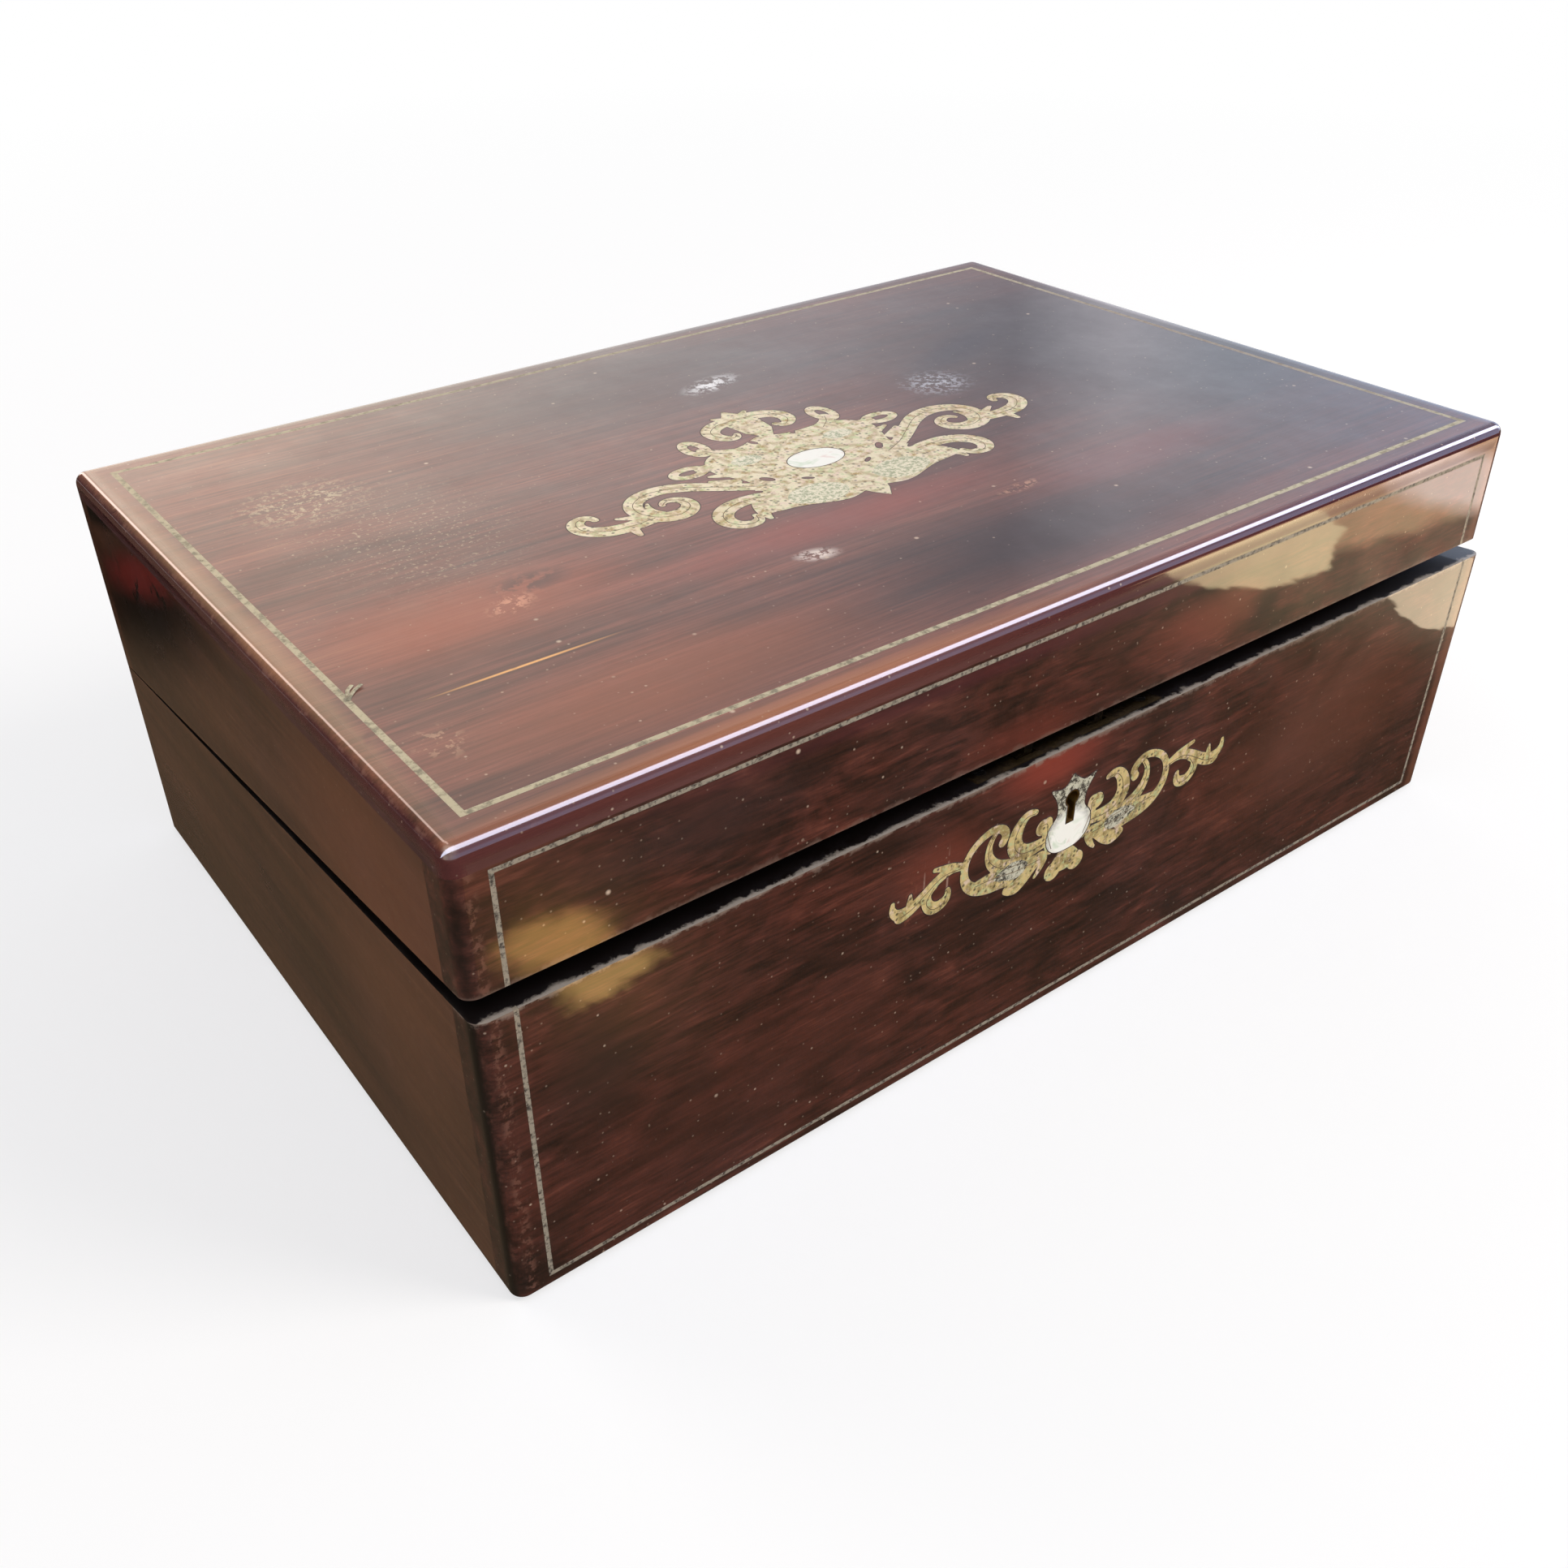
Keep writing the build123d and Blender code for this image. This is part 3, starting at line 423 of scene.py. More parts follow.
    def _unpolished_and_gap_shaded(self, tree: Tree, normal: Socket, turned: Socket | Node, wood: Node) -> tuple[
            Node, Node, Node]:
        """Paints shade on the meeting rims, black as in the dark gap between lid and base, and leaves the
        inside plain.

        Args:
            tree: the material's tree.
            normal: the surface's normal.
            turned: coordinates with the lid shut.
            wood: the colour so far.

        Returns:
            The new colour, how rough the unpolished wood is, and how much polish lies on the wood.
        """
        up = AJAR_TURN @ SPLIT_UP if self.lid else SPLIT_UP
        facing = add(tree, "Math:ABSOLUTE", add(tree, "VectorMath:DOT_PRODUCT", normal, up))
        facing = add(tree, "Math:GREATER_THAN", facing, SQUARE_ON)
        close = add(tree, "Math:LESS_THAN", self._rim(tree, turned), RIM_REACH)
        rim = add(tree, "Math:MULTIPLY", facing, close)
        size = add(tree, "VectorMath:ABSOLUTE", turned)
        x, y, z = add(tree, "SeparateXYZ", add(tree, "VectorMath:SUBTRACT", HOLLOW, size)).outputs
        least = add(tree, "Math:MINIMUM", add(tree, "Math:MINIMUM", x, y), z)
        within = add(tree, "Math:GREATER_THAN", least, 0.0)
        wood = add(tree, "Mix:RGBA", within, wood, add(tree, "Mix:RGBA", 0.75, wood, self.inside))
        # The rims' painted black shade gives way to dusty grey wear along the outer edge of the front's rim
        outer = add(tree, "Math:SUBTRACT", HALF_DEPTH, add(tree, "SeparateXYZ", size).outputs[1])
        dust = add(tree, "TexNoise", turned, METRE / 9.0, 6.0, 0.75)
        reach = add(tree, "MapRange", dust, 0.38, 0.66, 0.0004, 0.0034)
        grey = add(tree, "MapRange", add(tree, "Math:DIVIDE", outer, reach), 0.4, 1.0, 0.8, 0.0)
        # Painted shade: the rims go black, grey where worn at the outer edge
        wood = add(tree, "Mix:RGBA", rim, wood, add(tree, "Mix:RGBA", grey, "#0C0706", "#A69C90"))
        dull = add(tree, "Math:MULTIPLY", within, 0.5)
        bare = add(tree, "Math:MULTIPLY_ADD", rim, 0.7, within, use_clamp=True)
        return wood, dull, add(tree, "MapRange", bare, None, None, self.coat, 0.0)


@dataclass(frozen=True)
class OiledMahogany(Finish):
    """Plain mahogany of the inside, oiled: even red-brown with short ribbon figure and a dull shine."""

    grain: Grain
    dark: str = "#3A1C12"
    light: str = "#6B3A24"
    roughness: float = 0.48

    def look(self, tree: Tree, place: Socket, normal: Socket) -> dict[str, object]:
        """Draws the ribbon figure and the pores.

        Args:
            tree: the material's tree.
            place: the object coordinates.
            normal: the surface's normal; not used.

        Returns:
            What the shader's inputs get, by name.
        """
        broad = add(tree, "Mapping", place, None, None, self.grain.scale(70.0, 5.0))
        band = add(tree, "TexNoise", broad, 1.0, 5.0, 0.6)
        wood = add(tree, "ValToRGB", band, stops=((0.32, self.dark), (0.68, self.light)))
        fine = add(tree, "Mapping", place, None, None, self.grain.scale(6.0, 0.35))
        pore = add(tree, "TexNoise", fine, 1.0, 1.0)
        dark = add(tree, "MapRange", pore, 0.3, 0.45, 0.6, 0.0)
        sheen = add(tree, "MapRange", band, 0.3, 0.7, self.roughness * 0.85, self.roughness * 1.15)
        return {"Base Color": add(tree, "Mix:RGBA", dark, wood, self.dark), "Roughness": sheen, "IOR": 1.5,
                "Normal": add(tree, "Bump", 0.3, 0.0002, None, pore)}


@dataclass(frozen=True)
class OldBrass(Finish):
    """Cast or rolled brass with a century of handling: gold where rubbed, olive brown where not."""

    bright: str
    tarnish: str
    tarnish_share: float = 0.45
    blotch: float = 9.0          # millimetres across a blotch of tarnish
    scratch: float = 0.5         # width of a hair scratch, drawn coarse enough to show
    roughness: float = 0.32
    metallic: float = 1.0
    engraved: bool = False
    punched: str = "#7E7458"     # dirt in the punched dots
    marks: tuple[Mark, ...] = ()

    def look(self, tree: Tree, place: Socket, normal: Socket) -> dict[str, object]:
        """Tarnishes the metal, scratches it and engraves it where it is an inlay.

        Args:
            tree: the material's tree.
            place: the object coordinates.
            normal: the surface's normal; not used.

        Returns:
            What the shader's inputs get, by name.
        """
        blotch = add(tree, "TexNoise", place, METRE / self.blotch, 5.0, 0.65)
        share = add(tree, "MapRange", blotch, 0.62 - 0.3 * self.tarnish_share,
                    0.78 - 0.3 * self.tarnish_share)
        metal = add(tree, "Mix:RGBA", share, self.bright, self.tarnish)
        for mark in self.marks:
            metal = mark.over(tree, place, metal)
        across = METRE / self.scratch
        long = add(tree, "Mapping", place, None, (0.0, 0.0, 0.7), (METRE / 14.0, across, across))
        height = add(tree, "TexNoise", long, 1.0, 2.0)
        if self.engraved:
            metal, cut = self._engraved(tree, place, metal)
            height = add(tree, "Math:SUBTRACT", height, cut)
        sheen = add(tree, "MapRange", share, 0.0, 1.0, self.roughness, min(0.75, self.roughness * 1.7))
        return {"Base Color": metal, "Metallic": self.metallic, "Roughness": sheen,
                "Normal": add(tree, "Bump", 0.35, 0.00015, None, height)}

    def _engraved(self, tree: Tree, place: Socket, metal: Node) -> tuple[Node, Node]:
        """Hatches and punches the metal.

        Args:
            tree: the material's tree.
            place: the object coordinates.
            metal: the colour so far.

        Returns:
            The new colour and the depth of the cuts.
        """
        # Graver's hatching: fine cuts that change direction from leaf to leaf
        lobes = add(tree, "TexVoronoi", place, METRE / 6.5).outputs["Color"]
        turn = add(tree, "Math:MULTIPLY", add(tree, "SeparateColor", lobes), 6.28)
        turned = add(tree, "VectorRotate", place, None, (0.0, 0.35, 1.0), turn,
                     rotation_type="AXIS_ANGLE")
        cuts = add(tree, "TexWave", turned, METRE / (0.9 * 6.28 * 3.2), 1.4, 1.0, 2.0, wave_type="BANDS")
        cut = add(tree, "MapRange", cuts.outputs[1], 0.0, 0.34, 0.62, 0.0)
        metal = add(tree, "Mix:RGBA", cut, metal, self.tarnish)
        # Rose and green tints, and the punched ground between the leaves: dirt in dots 1.5 mm apart
        tint = add(tree, "TexNoise", place, METRE / 2.6, 3.0, 0.7)
        for low, high, code in ((0.54, 0.66, "#E8D0BE"), (0.46, 0.36, "#C4CC98")):
            metal = add(tree, "Mix:RGBA", add(tree, "MapRange", tint, low, high, 0.0, 0.75), metal, code)
        dots = add(tree, "TexVoronoi", place, METRE / 1.5).outputs
        tone = add(tree, "SeparateColor", dots["Color"])
        chosen = add(tree, "MapRange", tone, 0.40, 0.55, 0.0, 0.85)
        dot = add(tree, "MapRange", dots["Distance"], 0.20, 0.40, 1.0, 0.0)
        return add(tree, "Mix:RGBA", add(tree, "Math:MULTIPLY", dot, chosen), metal, self.punched), cut


@dataclass(frozen=True)
class MotherOfPearl(Finish):
    """Polished nacre: milky white with soft clouds of pink and green and a wet shine."""

    clean: tuple[float, float, float]      # middle of the part that is kept bright
    reach: tuple[float, float, float]      # how far that goes, in millimetres
    grime: tuple[str, str]                 # what lies in the graver's cuts elsewhere
    milk: str = "#F4F2E8"
    rose: str = "#E8D2C8"
    sea: str = "#D3DEC6"

    def look(self, tree: Tree, place: Socket, normal: Socket) -> dict[str, object]:
        """Clouds the nacre and soils it outside its clean middle.

        Args:
            tree: the material's tree.
            place: the object coordinates.
            normal: the surface's normal; not used.

        Returns:
            What the shader's inputs get, by name.
        """
        cloud = add(tree, "TexNoise", place, METRE / 7.0, 2.0, None, None, 1.2)
        nacre = add(tree, "ValToRGB", cloud, stops=(
            (0.30, self.sea), (0.44, self.milk), (0.56, self.milk), (0.68, self.rose)))
        local = add(tree, "Mapping:TEXTURE", place, [MM * value for value in self.clean], None,
                    [MM * value for value in self.reach])
        grime = add(tree, "TexNoise", place, METRE / 1.3, 3.0, 0.7)
        dirty = add(tree, "ValToRGB", grime, stops=((0.42, self.grime[0]), (0.56, self.grime[1])))
        share = add(tree, "MapRange", add(tree, "VectorMath:LENGTH", local), 0.8, 1.3)
        layer = add(tree, "TexWave", place, METRE / (1.1 * 20.0), 3.0, wave_type="BANDS").outputs[1]
        return {"Base Color": add(tree, "Mix:RGBA", share, nacre, dirty), "Roughness": 0.22, "IOR": 1.66,
                "Specular IOR Level": 0.7, "Coat Weight": 0.6, "Coat Roughness": 0.06,
                "Normal": add(tree, "Bump", 0.2, 0.0001, None, layer)}


@dataclass(frozen=True)
class AgedSteel(Finish):
    """Lock and screw steel: dark grey, slightly brown, with a burnished shine on the heads."""

    name: str = "aged_steel"

    def look(self, tree: Tree, place: Socket, normal: Socket) -> dict[str, object]:
        """Spots the steel, rougher where it is dark.

        Args:
            tree: the material's tree.
            place: the object coordinates.
            normal: the surface's normal; not used.

        Returns:
            What the shader's inputs get, by name.
        """
        spots = add(tree, "TexNoise", place, METRE / 2.5, 4.0)
        return {"Base Color": add(tree, "ValToRGB", spots, stops=((0.40, "#4A4038"), (0.60, "#8C8880"))),
                "Metallic": 1.0, "Roughness": add(tree, "MapRange", spots, 0.4, 0.6, 0.55, 0.3),
                "Normal": add(tree, "Bump", 0.3, 0.0001, None, spots)}


@dataclass(frozen=True)
class GoatSkiver(Finish):
    """Thin dyed goatskin glued to the writing flaps: fine pebbled grain, faded and rubbed pale."""

    name: str = "goat_skiver_leather"
    dye: str = "#1E2140"
    pebble: float = 1.1          # millimetres between grains, drawn a little coarse so that they show

    def look(self, tree: Tree, place: Socket, normal: Socket) -> dict[str, object]:
        """Fades the dye and creases the hide between its grains.

        Args:
            tree: the material's tree.
            place: the object coordinates.
            normal: the surface's normal; not used.

        Returns:
            What the shader's inputs get, by name.
        """
        fade = add(tree, "TexNoise", place, METRE / 70.0, 5.0, 0.6)
        hide = add(tree, "ValToRGB", fade, stops=((0.36, self.dye), (0.68, "#343A5E")))
        grain = add(tree, "TexVoronoi", place, METRE / self.pebble, feature="SMOOTH_F1")
        crease = add(tree, "MapRange", grain, 0.35, 0.7, 0.0, 0.5)
        return {"Base Color": add(tree, "Mix:RGBA", crease, hide, self.dye), "IOR": 1.5,
                "Roughness": add(tree, "MapRange", fade, 0.35, 0.7, 0.42, 0.62),
                "Normal": add(tree, "Bump", 0.5, 0.0002, None, grain, invert=True)}


@dataclass(frozen=True)
class GroundColour(Finish):
    """Thin stuff of two near colours: mastic round the inlay, gold leaf in the leather, a silk tab."""

    first: str
    second: str
    size: float = 2.0
    metallic: float = 0.0
    roughness: float = 0.6

    def look(self, tree: Tree, place: Socket, normal: Socket) -> dict[str, object]:
        """Runs the two colours into each other.

        Args:
            tree: the material's tree.
            place: the object coordinates.
            normal: the surface's normal; not used.

        Returns:
            What the shader's inputs get, by name.
        """
        rub = add(tree, "TexNoise", place, METRE / self.size, 3.0)
        return {"Base Color": add(tree, "ValToRGB", rub, stops=((0.38, self.first), (0.62, self.second))),
                "Metallic": self.metallic, "Roughness": self.roughness}


@dataclass(frozen=True)
class WoolBaize(Finish):
    """Green baize under the box: felted wool, matt, with a short nap that takes the light softly."""

    name: str = "wool_baize"

    def look(self, tree: Tree, place: Socket, normal: Socket) -> dict[str, object]:
        """Raises the nap.

        Args:
            tree: the material's tree.
            place: the object coordinates.
            normal: the surface's normal; not used.

        Returns:
            What the shader's inputs get, by name.
        """
        nap = add(tree, "TexNoise", place, METRE / 0.9, 4.0, 0.7)
        return {"Base Color": add(tree, "ValToRGB", nap, stops=((0.35, "#15301F"), (0.65, "#274A30"))),
                "Roughness": 0.95, "Sheen Weight": 0.35, "Sheen Roughness": 0.5,
                "Normal": add(tree, "Bump", 0.7, 0.0003, None, nap)}


@dataclass(frozen=True)
class MouldedGlass(Finish):
    """Thick moulded ink glass: clear, faintly green, with slow ripples from the mould."""

    name: str = "moulded_glass"

    def look(self, tree: Tree, place: Socket, normal: Socket) -> dict[str, object]:
        """Tints the glass and ripples it.

        Args:
            tree: the material's tree.
            place: the object coordinates.
            normal: the surface's normal; not used.

        Returns:
            What the shader's inputs get, by name.
        """
        ripple = add(tree, "TexNoise", place, METRE / 12.0, 1.0)
        return {"Base Color": "#E4EFEA", "Roughness": 0.04, "IOR": 1.52, "Transmission Weight": 1.0,
                "Normal": add(tree, "Bump", 0.3, 0.0006, None, ripple)}


def dress(finish: Finish, *nodes: str) -> None:
    """Gives one finish to CAD nodes.

    Args:
        finish: the finish.
        nodes: names of the nodes.
    """
    material = finish.material()
    for name in nodes:
        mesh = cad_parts[name].data
        mesh.materials.clear()
        mesh.materials.append(material)
    log.info("%s on %s", finish.name, ", ".join(nodes))


def linked(name: str, data: bpy.types.ID) -> Object:
    """Puts a new object in the scene.

    Args:
        name: the object's name.
        data: its mesh, lamp or camera.

    Returns:
        The object.
    """
    made = bpy.data.objects.new(name, data)
    bpy.context.scene.collection.objects.link(made)
    return made


def evaluated(name: str, mesh: bpy.types.Mesh, tree: Tree, **values: object) -> Object:
    """Runs a Geometry Nodes tree on a mesh and keeps the result as a plain mesh.

    Args:
        name: name of the new piece.
        mesh: what the tree starts from.
        tree: the geometry tree.
        values: the tree's inputs by name.

    Returns:
        The finished piece.
    """
    carrier = linked(name + "_carrier", mesh)
    modifier = carrier.modifiers.new("build", "NODES")
    modifier.node_group = tree
    for item in tree.interface.items_tree:
        if item.name in values:
            modifier[item.identifier] = values[item.name]
    bpy.context.view_layer.update()
    graph = bpy.context.evaluated_depsgraph_get()
    result = bpy.data.meshes.new_from_object(carrier.evaluated_get(graph))
    result.name = name
    bpy.data.objects.remove(carrier)
    piece = linked(name, result)
    log.info("made %s, %d faces", name, len(result.polygons))
    return piece


def geometry_tree(name: str, **inputs: str) -> tuple[Tree, bpy.types.NodeOutputs]:
    """Starts a Geometry Nodes tree.

    Args:
        name: the tree's name.
        inputs: each input's socket type, by name, beside its geometry.

    Returns:
        The tree, and what it is given, by name.
    """
    tree = bpy.data.node_groups.new(name, "GeometryNodeTree")
    for label, kind in {"Geometry": "Geometry", **inputs}.items():
        tree.interface.new_socket(label, in_out="INPUT", socket_type="NodeSocket" + kind)
    tree.interface.new_socket("Geometry", in_out="OUTPUT", socket_type="NodeSocketGeometry")
    return tree, add(tree, "NodeGroupInput").outputs


def end_tree(tree: Tree, shape: Node, material: Socket) -> None:
    """Ends a Geometry Nodes tree: makes its instances real and gives them their material.

    Args:
        tree: the geometry tree.
        shape: what it has made.
        material: the material that it is given.
    """
    real = add(tree, "GeometryNodeRealizeInstances", shape)
    add(tree, "NodeGroupOutput", add(tree, "GeometryNodeSetMaterial", real, None, material))


class RibbonLine:
    """Thin lines laid on a face along the edges of a mesh: mastic, graver's cuts or gold tooling."""

    def __init__(self) -> None:
        """Builds the tree once, for every line."""
        self.tree, given = geometry_tree("ribbon_line", width="Float", proud="Float", material="Material")
        tree = self.tree
        path = add(tree, "GeometryNodeMeshToCurve", given["Geometry"])
        half = add(tree, "Math:MULTIPLY", given["width"], 0.5)
        profile = add(tree, "GeometryNodeCurvePrimitiveCircle", 6, half)
        squash = add(tree, "CombineXYZ", add(tree, "Math:DIVIDE", given["proud"], half), 1.0, 1.0)
        profile = add(tree, "GeometryNodeTransform", profile, None, None, squash)
        normal = add(tree, "GeometryNodeInputNamedAttribute", "face_normal", data_type="FLOAT_VECTOR")
        path = add(tree, "GeometryNodeSetCurveNormal", path, None, normal, mode="FREE")
        end_tree(tree, add(tree, "GeometryNodeCurveToMesh", path, profile, None, True), given["material"])

    def lay(self, name: str, lines: list[list[Vector]], normal: Vector, width: float,
            material: Material, proud: float, closed: bool = False) -> Object:
        """Lays ribbons along lines.

        Args:
            name: name of the piece.
            lines: the points of each line, in metres.
            normal: the normal of the face that they lie on.
            width: their width in millimetres.
            material: their finish.
            proud: how far they stand above the face, in millimetres.
            closed: whether each line joins its own start.

        Returns:
            The piece.
        """
        mesh = bpy.data.meshes.new(name)
        points: list[Vector] = []
        edges: list[tuple[int, int]] = []
        for line in lines:
            first = len(points)
            points.extend(line)
            edges.extend((first + step, first + step + 1) for step in range(len(line) - 1))
            if closed:
                edges.append((len(points) - 1, first))
        mesh.from_pydata(points, edges, [])
        attribute = mesh.attributes.new("face_normal", "FLOAT_VECTOR", "POINT")
        attribute.data.foreach_set("vector", [value for _ in points for value in normal])
        return evaluated(name, mesh, self.tree, width=width * MM, proud=proud * MM, material=material)


def welded(node: str) -> bmesh.types.BMesh:
    """Opens a copy of a CAD node's mesh, with its doubled corners joined.

    Args:
        node: name of the node.

    Returns:
        The copy.
    """
    work = bmesh.new()
    work.from_mesh(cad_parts[node].data)
    bmesh.ops.remove_doubles(work, verts=work.verts, dist=1e-6)
    work.normal_update()
    return work


def face_outline(node: str, normal: Vector) -> list[list[Vector]]:
    """Finds the outlines of a CAD node's faces that look one way.

    Args:
        node: name of the node.
        normal: the way the faces look.

    Returns:
        Each closed outline's points, in metres.
    """
    work = welded(node)
    facing = {face for face in work.faces if face.normal.dot(normal) > 0.98}
    rim: dict[bmesh.types.BMVert, list[bmesh.types.BMVert]] = {}
    for edge in work.edges:
        if sum(face in facing for face in edge.link_faces) == 1:
            for here, there in (edge.verts, reversed(edge.verts)):
                rim.setdefault(here, []).append(there)
    outlines = []
    left = dict.fromkeys(rim)       # a dict keeps their order, so that every run gives the same
    while left:
        here = next(iter(left))
        line = []
        while here:
            del left[here]
            line.append(here.co.copy())
            here = next((vert for vert in rim[here] if vert in left), None)
        if len(line) > 3:
            outlines.append(line)
    work.free()
    return outlines


def middle_of(points: list[Vector]) -> Vector:
    """The mean of some points."""
    return sum(points, Vector()) / len(points)


def on_lid(x: float, y: float, level: float = 0.0) -> Vector:
    """A point of the ajar lid's top, given in millimetres on the shut lid's top.

    Args:
        x: across the box.
        y: towards the hinges.
        level: height above the top.

    Returns:
        The point in metres.
    """
    return HINGE + AJAR_TURN @ (Vector((x * MM, y * MM, HEIGHT + level * MM)) - HINGE)


def smooth_line(points: tuple[tuple[float, float], ...], steps: int = 6) -> list[tuple[float, float]]:
    """Puts a smooth curve through points in a plane.

    Args:
        points: the points it passes.
        steps: new points for each span.

    Returns:
        The curve's points.
    """
    ends = [points[0], *points, points[-1]]
    line = []
    for a, b, c, d in zip(ends, ends[1:], ends[2:], ends[3:]):
        for step in range(steps):
            t = step / steps
            line.append(tuple(
                0.5 * (2 * b[i] + (c[i] - a[i]) * t + (2 * a[i] - 5 * b[i] + 4 * c[i] - d[i]) * t * t
                       + (3 * b[i] - a[i] - 3 * c[i] + d[i]) * t ** 3) for i in (0, 1)))
    return [*line, points[-1]]


@dataclass
class Studio:
    """Floor, daylight-like studio light and the camera at the photograph's angle."""

    sky_strip: tuple[float, float] = (0.90, 1.44)       # its lower and upper edge, in radians over the front
    sky_light: tuple[float, float, float, float] = (8.4, 9.0, 11.4, 1.0)
    gap_light: tuple[float, float, float, float] = (4.2, 3.3, 2.9, 1.0)     # straight behind, along x = 0
    shade: tuple[float, float, float, float] = (0.08, 0.058, 0.036, 1.0)    # of the ground round the box
    # What the polished sides mirror on the ground: middle, reach and turn (mm, degrees), how soft its
    # edge is, its colour and strength. The later ones lie over the earlier.
    ground_light: tuple = (
        (-230.0, 330.0, 45.0, 130.0, 0.0, 0.6, "#000000", 1.0),
        (420.0, -330.0, 160.0, 92.0, -8.0, 0.12, "#FFCE9C", 2.2),
        (300.0, -292.0, 62.0, 46.0, -24.0, 0.06, "#FFE6B4", 4.4),
        (440.0, -262.0, 50.0, 44.0, 10.0, 0.5, "#F8E0D2", 4.8),
        (350.0, -228.0, 16.0, 22.0, 0.0, 0.6, "#8A5030", 0.6),
        (322.0, -190.0, 43.0, 24.5, 0.0, 0.05, "#FFE8C4", 3.6),
        (-103.0, -231.0, 22.0, 18.0, 10.0, 0.6, "#FFC470", 4.6),
        (-100.0, -204.5, 20.0, 8.0, -4.0, 0.6, "#FFCE7C", 4.6))

    def build(self) -> None:
        """Makes the stage, the lamps, the world and the camera."""
        self._floor()
        self._mirrored_ground()
        self._world()
        self._lamps()
        self._camera()
        bpy.context.scene.view_settings.view_transform = "Standard"

    def _sheet(self, name: str, reach: float, level: float, material: Material) -> Object:
        """Lays a square sheet level under the box.

        Args:
            name: its name.
            reach: half its width.
            level: its height.
            material: its finish.

        Returns:
            The sheet.
        """
        mesh = bpy.data.meshes.new(name)
        corners = ((-reach, -reach), (reach, -reach), (reach, reach), (-reach, reach))
        mesh.from_pydata([(x, y, level) for x, y in corners], [], [(0, 1, 2, 3)])
        mesh.materials.append(material)
        return linked(name, mesh)

    def _floor(self) -> None:
        """A wide white floor that keeps the object's shadow."""
        material, tree = new_material("white_paper_sweep")
        ray = add(tree, "LightPath").outputs
        seen = add(tree, "Math:MAXIMUM", ray["Is Camera Ray"], ray["Is Glossy Ray"])
        seen = add(tree, "Math:MAXIMUM", seen, ray["Is Transmission Ray"])
        # Plain white beyond a metre or so, where no shadow falls, so that no horizon shows
        away = add(tree, "VectorMath:LENGTH", add(tree, "TexCoord").outputs["Object"])
        share = add(tree, "Math:MULTIPLY", seen, add(tree, "MapRange", away, 0.35, 1.3, 0.6, 1.0))
        paper = add(tree, "BsdfDiffuse", "#F4F4F4")
        add(tree, "OutputMaterial", add(tree, "MixShader", share, paper, add(tree, "Emission", "#FFFFFF")))
        floor = self._sheet("floor", 9.0, 0.0, material)

    def _mirrored_ground(self) -> None:
        """What the polished sides mirror: the shaded ground round the box, and bright ground beyond."""
        level = 0.0006
        material, tree = new_material("mirrored_ground")
        place = add(tree, "TexCoord").outputs["Object"]
        ragged = add(tree, "TexNoise", place, METRE / 22.0, 5.0, 0.65).outputs["Color"]
        shift = add(tree, "VectorMath:SUBTRACT", ragged, (0.5, 0.5, 0.5))
        bent = add(tree, "VectorMath:MULTIPLY_ADD", shift, (0.022, 0.022, 0.0), place)
        glow = self.shade
        for x, y, long, deep, turn, soft, code, strength in self.ground_light:
            local = add(tree, "Mapping:TEXTURE", bent, (x * MM, y * MM, level),
                        (0, 0, math.radians(turn)), (long * MM, deep * MM, 1.0))
            share = add(tree, "MapRange", add(tree, "VectorMath:LENGTH", local), 1.0 - soft,
                        1.0 + soft * 0.3, 1.0, 0.0, interpolation_type="SMOOTHSTEP")
            bright = tuple(strength * part for part in linear(code)[:3]) + (1.0,)
            glow = add(tree, "Mix:RGBA", share, glow, bright)
        add(tree, "OutputMaterial", add(tree, "Emission", glow))
        ground = self._sheet("mirrored_ground", 4.0, level, material)
        ground.visible_camera = ground.visible_diffuse = False
        ground.visible_shadow = ground.visible_transmission = False

    def _world(self) -> None:
        """Even daylight, white behind the object and graded where the polish mirrors it."""
        world = bpy.data.worlds.new("daylight")
        bpy.context.scene.world = world
        world.use_nodes = True
        tree = world.node_tree
        tree.nodes.clear()
        way = add(tree, "TexCoord").outputs["Generated"]
        # Across the lid's view of the sky: warm and bright on the left, dim ahead, cool on the right
        across = add(tree, "VectorMath:DOT_PRODUCT", way, (-0.766, 0.643, 0.0))
        hue = add(tree, "ValToRGB", add(tree, "MapRange", across, -0.5, 0.9), stops=(
            (0.0, "#A8BEE4"), (0.20, "#B8BECA"), (0.245, "#DAD6DE"), (0.293, "#86848E"),
            (0.393, "#B4B6BC"), (0.50, "#D4D0CC"), (0.62, "#F4EADA"), (0.72, "#FFEAD8"),
            (0.80, "#8A7064"), (0.90, "#3A2E2A")))
        x, y, z = add(tree, "SeparateXYZ", way).outputs
        graded = add(tree, "VectorMath:SCALE", hue, add(tree, "MapRange", z, 0.30, 0.46, 2.0, 0.95))
        # A strip of open sky low over the front, which draws the cold bright line along the front arris
        lift = add(tree, "Math:ARCTAN2", z, add(tree, "Math:MULTIPLY", y, -1.0))
        strip = add(tree, "Math:MULTIPLY", *(
            add(tree, "MapRange", lift, edge - soft, edge + soft, below, 1.0 - below)
            for edge, soft, below in ((self.sky_strip[0], 0.03, 0.0), (self.sky_strip[1], 0.05, 1.0))))
        graded = add(tree, "Mix:RGBA", strip, graded, self.sky_light)
